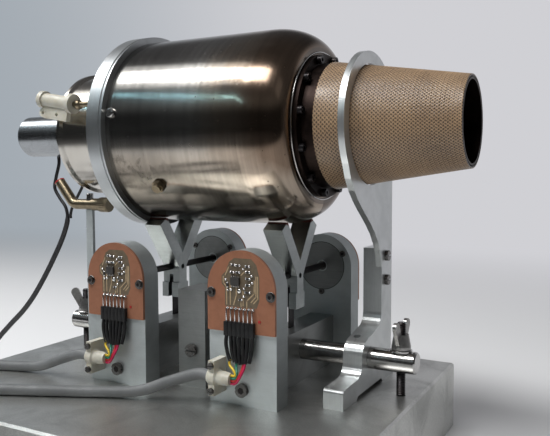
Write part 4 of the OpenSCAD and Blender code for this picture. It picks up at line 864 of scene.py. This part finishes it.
# seven crimp housings a board, black sleeves that gather towards the gland, and the coloured wires
def makeHousings():
    row = {"glandX": -2.0, "gland": (-0.063, 0.056), "gather": 0.30, "sleeveR": 0.00098, "wireR": 0.00064,
           "wired": (0, 2, 4, 5), "wireStep": 0.00135,
           # half width, front and back, foot and top, rounding
           "house": (0.00121, (-0.05905, -0.05663), (0.0770, 0.0844), 0.00022),
           "latch": (0.0006, (-0.05915, -0.0589), (0.0800, 0.0823), 0.0001)}
    tones = ["wireYellow", "wireGreen", "wireRed", "wireCrimson"]
    spread = random.Random(7)
    lump, wires = Lump(), Lump()
    for x0 in boardX:
        gland = Vector(((x0 + row["glandX"]) * mm, *row["gland"]))
        for k in range(pinCount):
            px = (x0 + (k - 3) * pinPitch) * mm
            for half, (front, back), (foot, top), rounding in (row["house"], row["latch"]):
                lump.box((px - half, front, foot), (px + half, back, top), 0, rounding)
            bend = spread.uniform(-0.0004, 0.0004)
            out = spread.uniform(-0.0006, 0.0003)
            endX = px + (gland.x + 0.007 - px) * row["gather"] + bend
            path = smoothThrough([(px, -0.0578, 0.0775), (px + bend * 0.4, -0.0580 + out, 0.0730),
                                  (px * 0.6 + endX * 0.4, -0.0588 + out, 0.0680),
                                  (endX, -0.0597 + out, 0.0632 + 0.0004 * abs(k - 3))], 5)
            lump.tube(path, row["sleeveR"], 0)
            if k in row["wired"]:
                n = row["wired"].index(k)
                low = gland + Vector((0.0004, 0, (1.5 - n) * row["wireStep"]))
                end = path[-1]
                wires.tube(smoothThrough([end + Vector((0, 0, 0.001)), end - Vector((0.0002, 0.0004, 0.0016)),
                                          end * 0.45 + low * 0.55 + Vector((0.0020, -0.0006, -0.0004)),
                                          low + Vector((0.0022, 0, 0.0001)), low - Vector((0.0012, 0, 0))], 6),
                           row["wireR"], n)
    sleeves = lump.piece("housingSleeves", [blackPlastic], "stand", "black_plastic")
    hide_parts("wire_housings")
    loose = wires.piece("looseWires", [wireFinish[t] for t in tones], "stand", "wires")
    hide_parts("jumper_wires")


makeHousings()
print("housings and wires laid")


# small hardware: screw sockets and washers, cap faces and seams with their screws, the pipe's screw, knurl and cap
def makeHardware():
    # in millimetres, but inner and the depths of seam and capFace in metres; a socket gives its screw head's
    # radius and height
    hard = {"inner": 0.043, "screwX": 17.6, "screwZ": 98.5, "footZ": 48.5, "footIn": 1.6, "axleZ": 101.0,
            "capScrew": 16.4, "seam": (15.0, 15.35, 0.00003, -0.0003), "capFace": (3.6, 15.0, 0.00002, -0.0002),
            "ringSides": 64, "pipe": (-99.3, -14.0, 139.5), "pipeR": 3.4, "knurl": (9.3, 16.8, 4.6, 28), "tooth": 0.16,
            "tip": (-125.95, 154.26, 50.0), "boardSocket": (2.0, 1.4), "footSocket": (3.6, 2.0),
            "capSocket": (1.6, 1.2), "pipeSocket": (2.2, 3.8)}
    # profiles: radius and distance along the axis, in metres
    turned = {"washer": [(0.0027, 0), (0.0027, 0.0002), (0.0026, 0.0003), (0.0015, 0.0003)],
              "capHead": [(0.0019, 0), (0.0019, 0.0008), (0.0015, 0.0012)],
              "pipeHead": [(0.0026, -0.0006), (0.0026, 0.0005), (0.0023, 0.0006), (0.0022, 0.0034), (0.0019, 0.0038)],
              "tipCap": [(0.0035, -0.0004), (0.0035, 0.0003), (0.0032, 0.0005)]}
    finishes = [blackSteel, darkSteel, agedBrass, redMark, brightSteel, dullAluminium]
    black, dark, brass, red, bright, dull = range(len(finishes))
    lump = Lump()

    def socket(at, way, head, tall):
        # black hexagon in the end of a screw head of that radius, painted shade standing in for the socket's hollow
        top = Vector(at) * mm + Vector(way) * tall * mm
        lump.spun(top, way, [(head * 0.52 * mm, -0.0002), (head * 0.52 * mm, 0.00003)], black, 6)
        lump.spun(top, way, [(head * 0.9 * mm, -0.0003), (head * 0.9 * mm, 0.00001), (head * 0.84 * mm, 0.00002)],
                  dark, 24)

    def letIn(x, way, near, far, lift, deep, mark):
        # thin closed ring let into the upright's inner face, lift proud of it
        ring = circle(hard["ringSides"])
        verts = [Vector((x * mm + r * mm * c, way * (hard["inner"] - out), hard["axleZ"] * mm + r * mm * s))
                 for r, out in ((near, lift), (far, lift), (far, deep), (near, deep)) for c, s in ring]
        lump.add(verts, between(4, len(ring), True), mark)

    for x in boardX:
        for side in (-1, 1):
            at = (x + side * hard["screwX"], boardFace / mm, hard["screwZ"])
            lump.spun(Vector(at) * mm, nearWay, turned["washer"], dark, 32)
            socket(at, nearWay, *hard["boardSocket"])
        socket((x, boardFace / mm + hard["footIn"], hard["footZ"]), nearWay, *hard["footSocket"])
        for way in (-1, 1):
            letIn(x, way, *hard["seam"], black)
            letIn(x, way, *hard["capFace"], dull)
            for k in range(3):
                a = math.radians(30 + 120 * k)
                at = (x + hard["capScrew"] * math.cos(a), way * hard["inner"] / mm,
                      hard["axleZ"] + hard["capScrew"] * math.sin(a))
                lump.spun(Vector(at) * mm, (0, -way, 0), turned["capHead"], dark, 24)
                socket(at, (0, -way, 0), *hard["capSocket"])
    px, py, pz = hard["pipe"]
    top = (px, py, pz + hard["pipeR"])
    lump.spun(Vector(top) * mm, (0, 0, 1), turned["pipeHead"], bright, 28)
    socket(top, (0, 0, 1), *hard["pipeSocket"])
    low, high, knurlR, teeth = hard["knurl"]
    verts = []
    for along, grow in ((low, -0.3), (low + 0.6, 0.05), (high - 0.9, 0.05), (high, -0.5)):
        for k, (c, s) in enumerate(circle(2 * teeth)):
            r = (knurlR + grow + (hard["tooth"] if k % 2 else 0.0)) * mm
            verts.append(Vector(((px + along) * mm, py * mm + r * c, pz * mm + r * s)))
    lump.add(verts, capped(4, 2 * teeth), brass)
    tipX, tipZ, tilt = hard["tip"]
    way = (-math.cos(math.radians(tilt)), 0, math.sin(math.radians(tilt)))
    lump.spun((tipX * mm, py * mm, tipZ * mm), way, turned["tipCap"], red, 32)
    lump.piece("smallHardware", finishes, "stand", "bright_steel", 30)


makeHardware()
print("small hardware fitted")


# casing: rolled shell with its rounded shoulder, turned finely so that the light runs smoothly over it
def makeCasing():
    shell = {"wall": 0.001, "shoulder": 0.025, "lipRadius": 0.042, "lip": 0.0024, "mouth": 0.033, "steps": 36,
             "sides": 220}
    inner, end = casingR - shell["wall"], coverX + casingL
    straight = end - shell["shoulder"]
    quarter = [math.radians(90 * k / shell["steps"]) for k in range(shell["steps"] + 1)]

    def bend(radius, reach):
        return [(straight + reach * math.sin(a), shell["lipRadius"] + (radius - shell["lipRadius"]) * math.cos(a))
                for a in quarter]

    corners = [(coverX, inner), (coverX, casingR)] + bend(casingR, shell["shoulder"])
    corners += [(end, shell["mouth"]), (end - shell["lip"], shell["mouth"])]
    corners += bend(inner, shell["shoulder"] - shell["lip"])[::-1]
    made = turnedPiece("casingShell", corners, shell["sides"], tintedSteel, "engine", "tinted_steel")
    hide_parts("casing")


makeCasing()
print("casing turned")


# bush in the exhaust ring: fills its hole to half a millimetre from the wrap, which tapers
def makeBush():
    bush = {"rim": 0.005, "near": 0.0011, "far": 0.0016, "bite": 0.0003, "inset": 0.00005, "sides": 120}
    low, high = (Vector(c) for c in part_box("exhaust_ring"))
    hole = high.z - axisZ - bush["rim"]
    front, back = low.x + bush["inset"], high.x - bush["inset"]
    corners = [(front, hole + bush["bite"]), (front, hole - bush["near"]), (back, hole - bush["far"]),
               (back, hole + bush["bite"])]
    turnedPiece("ringBush", corners, bush["sides"], sawnAluminium, "stand", "satin_aluminium")


makeBush()
print("ring bushed")


# polished bead round the casing's mouth, just outside the exhaust flange
def makeBead():
    bead = {"out": 0.0013, "radius": 0.0005, "steps": 8, "sides": 160}
    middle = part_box("exhaust_cone")[1][2] - axisZ + bead["out"]
    corners = [(coverX + casingL + bead["radius"] * s, middle + bead["radius"] * c) for c, s in circle(bead["steps"])]
    turnedPiece("mouthBead", corners, bead["sides"], brightSteel, "engine", "bright_steel", 60)


makeBead()
print("mouth beaded")
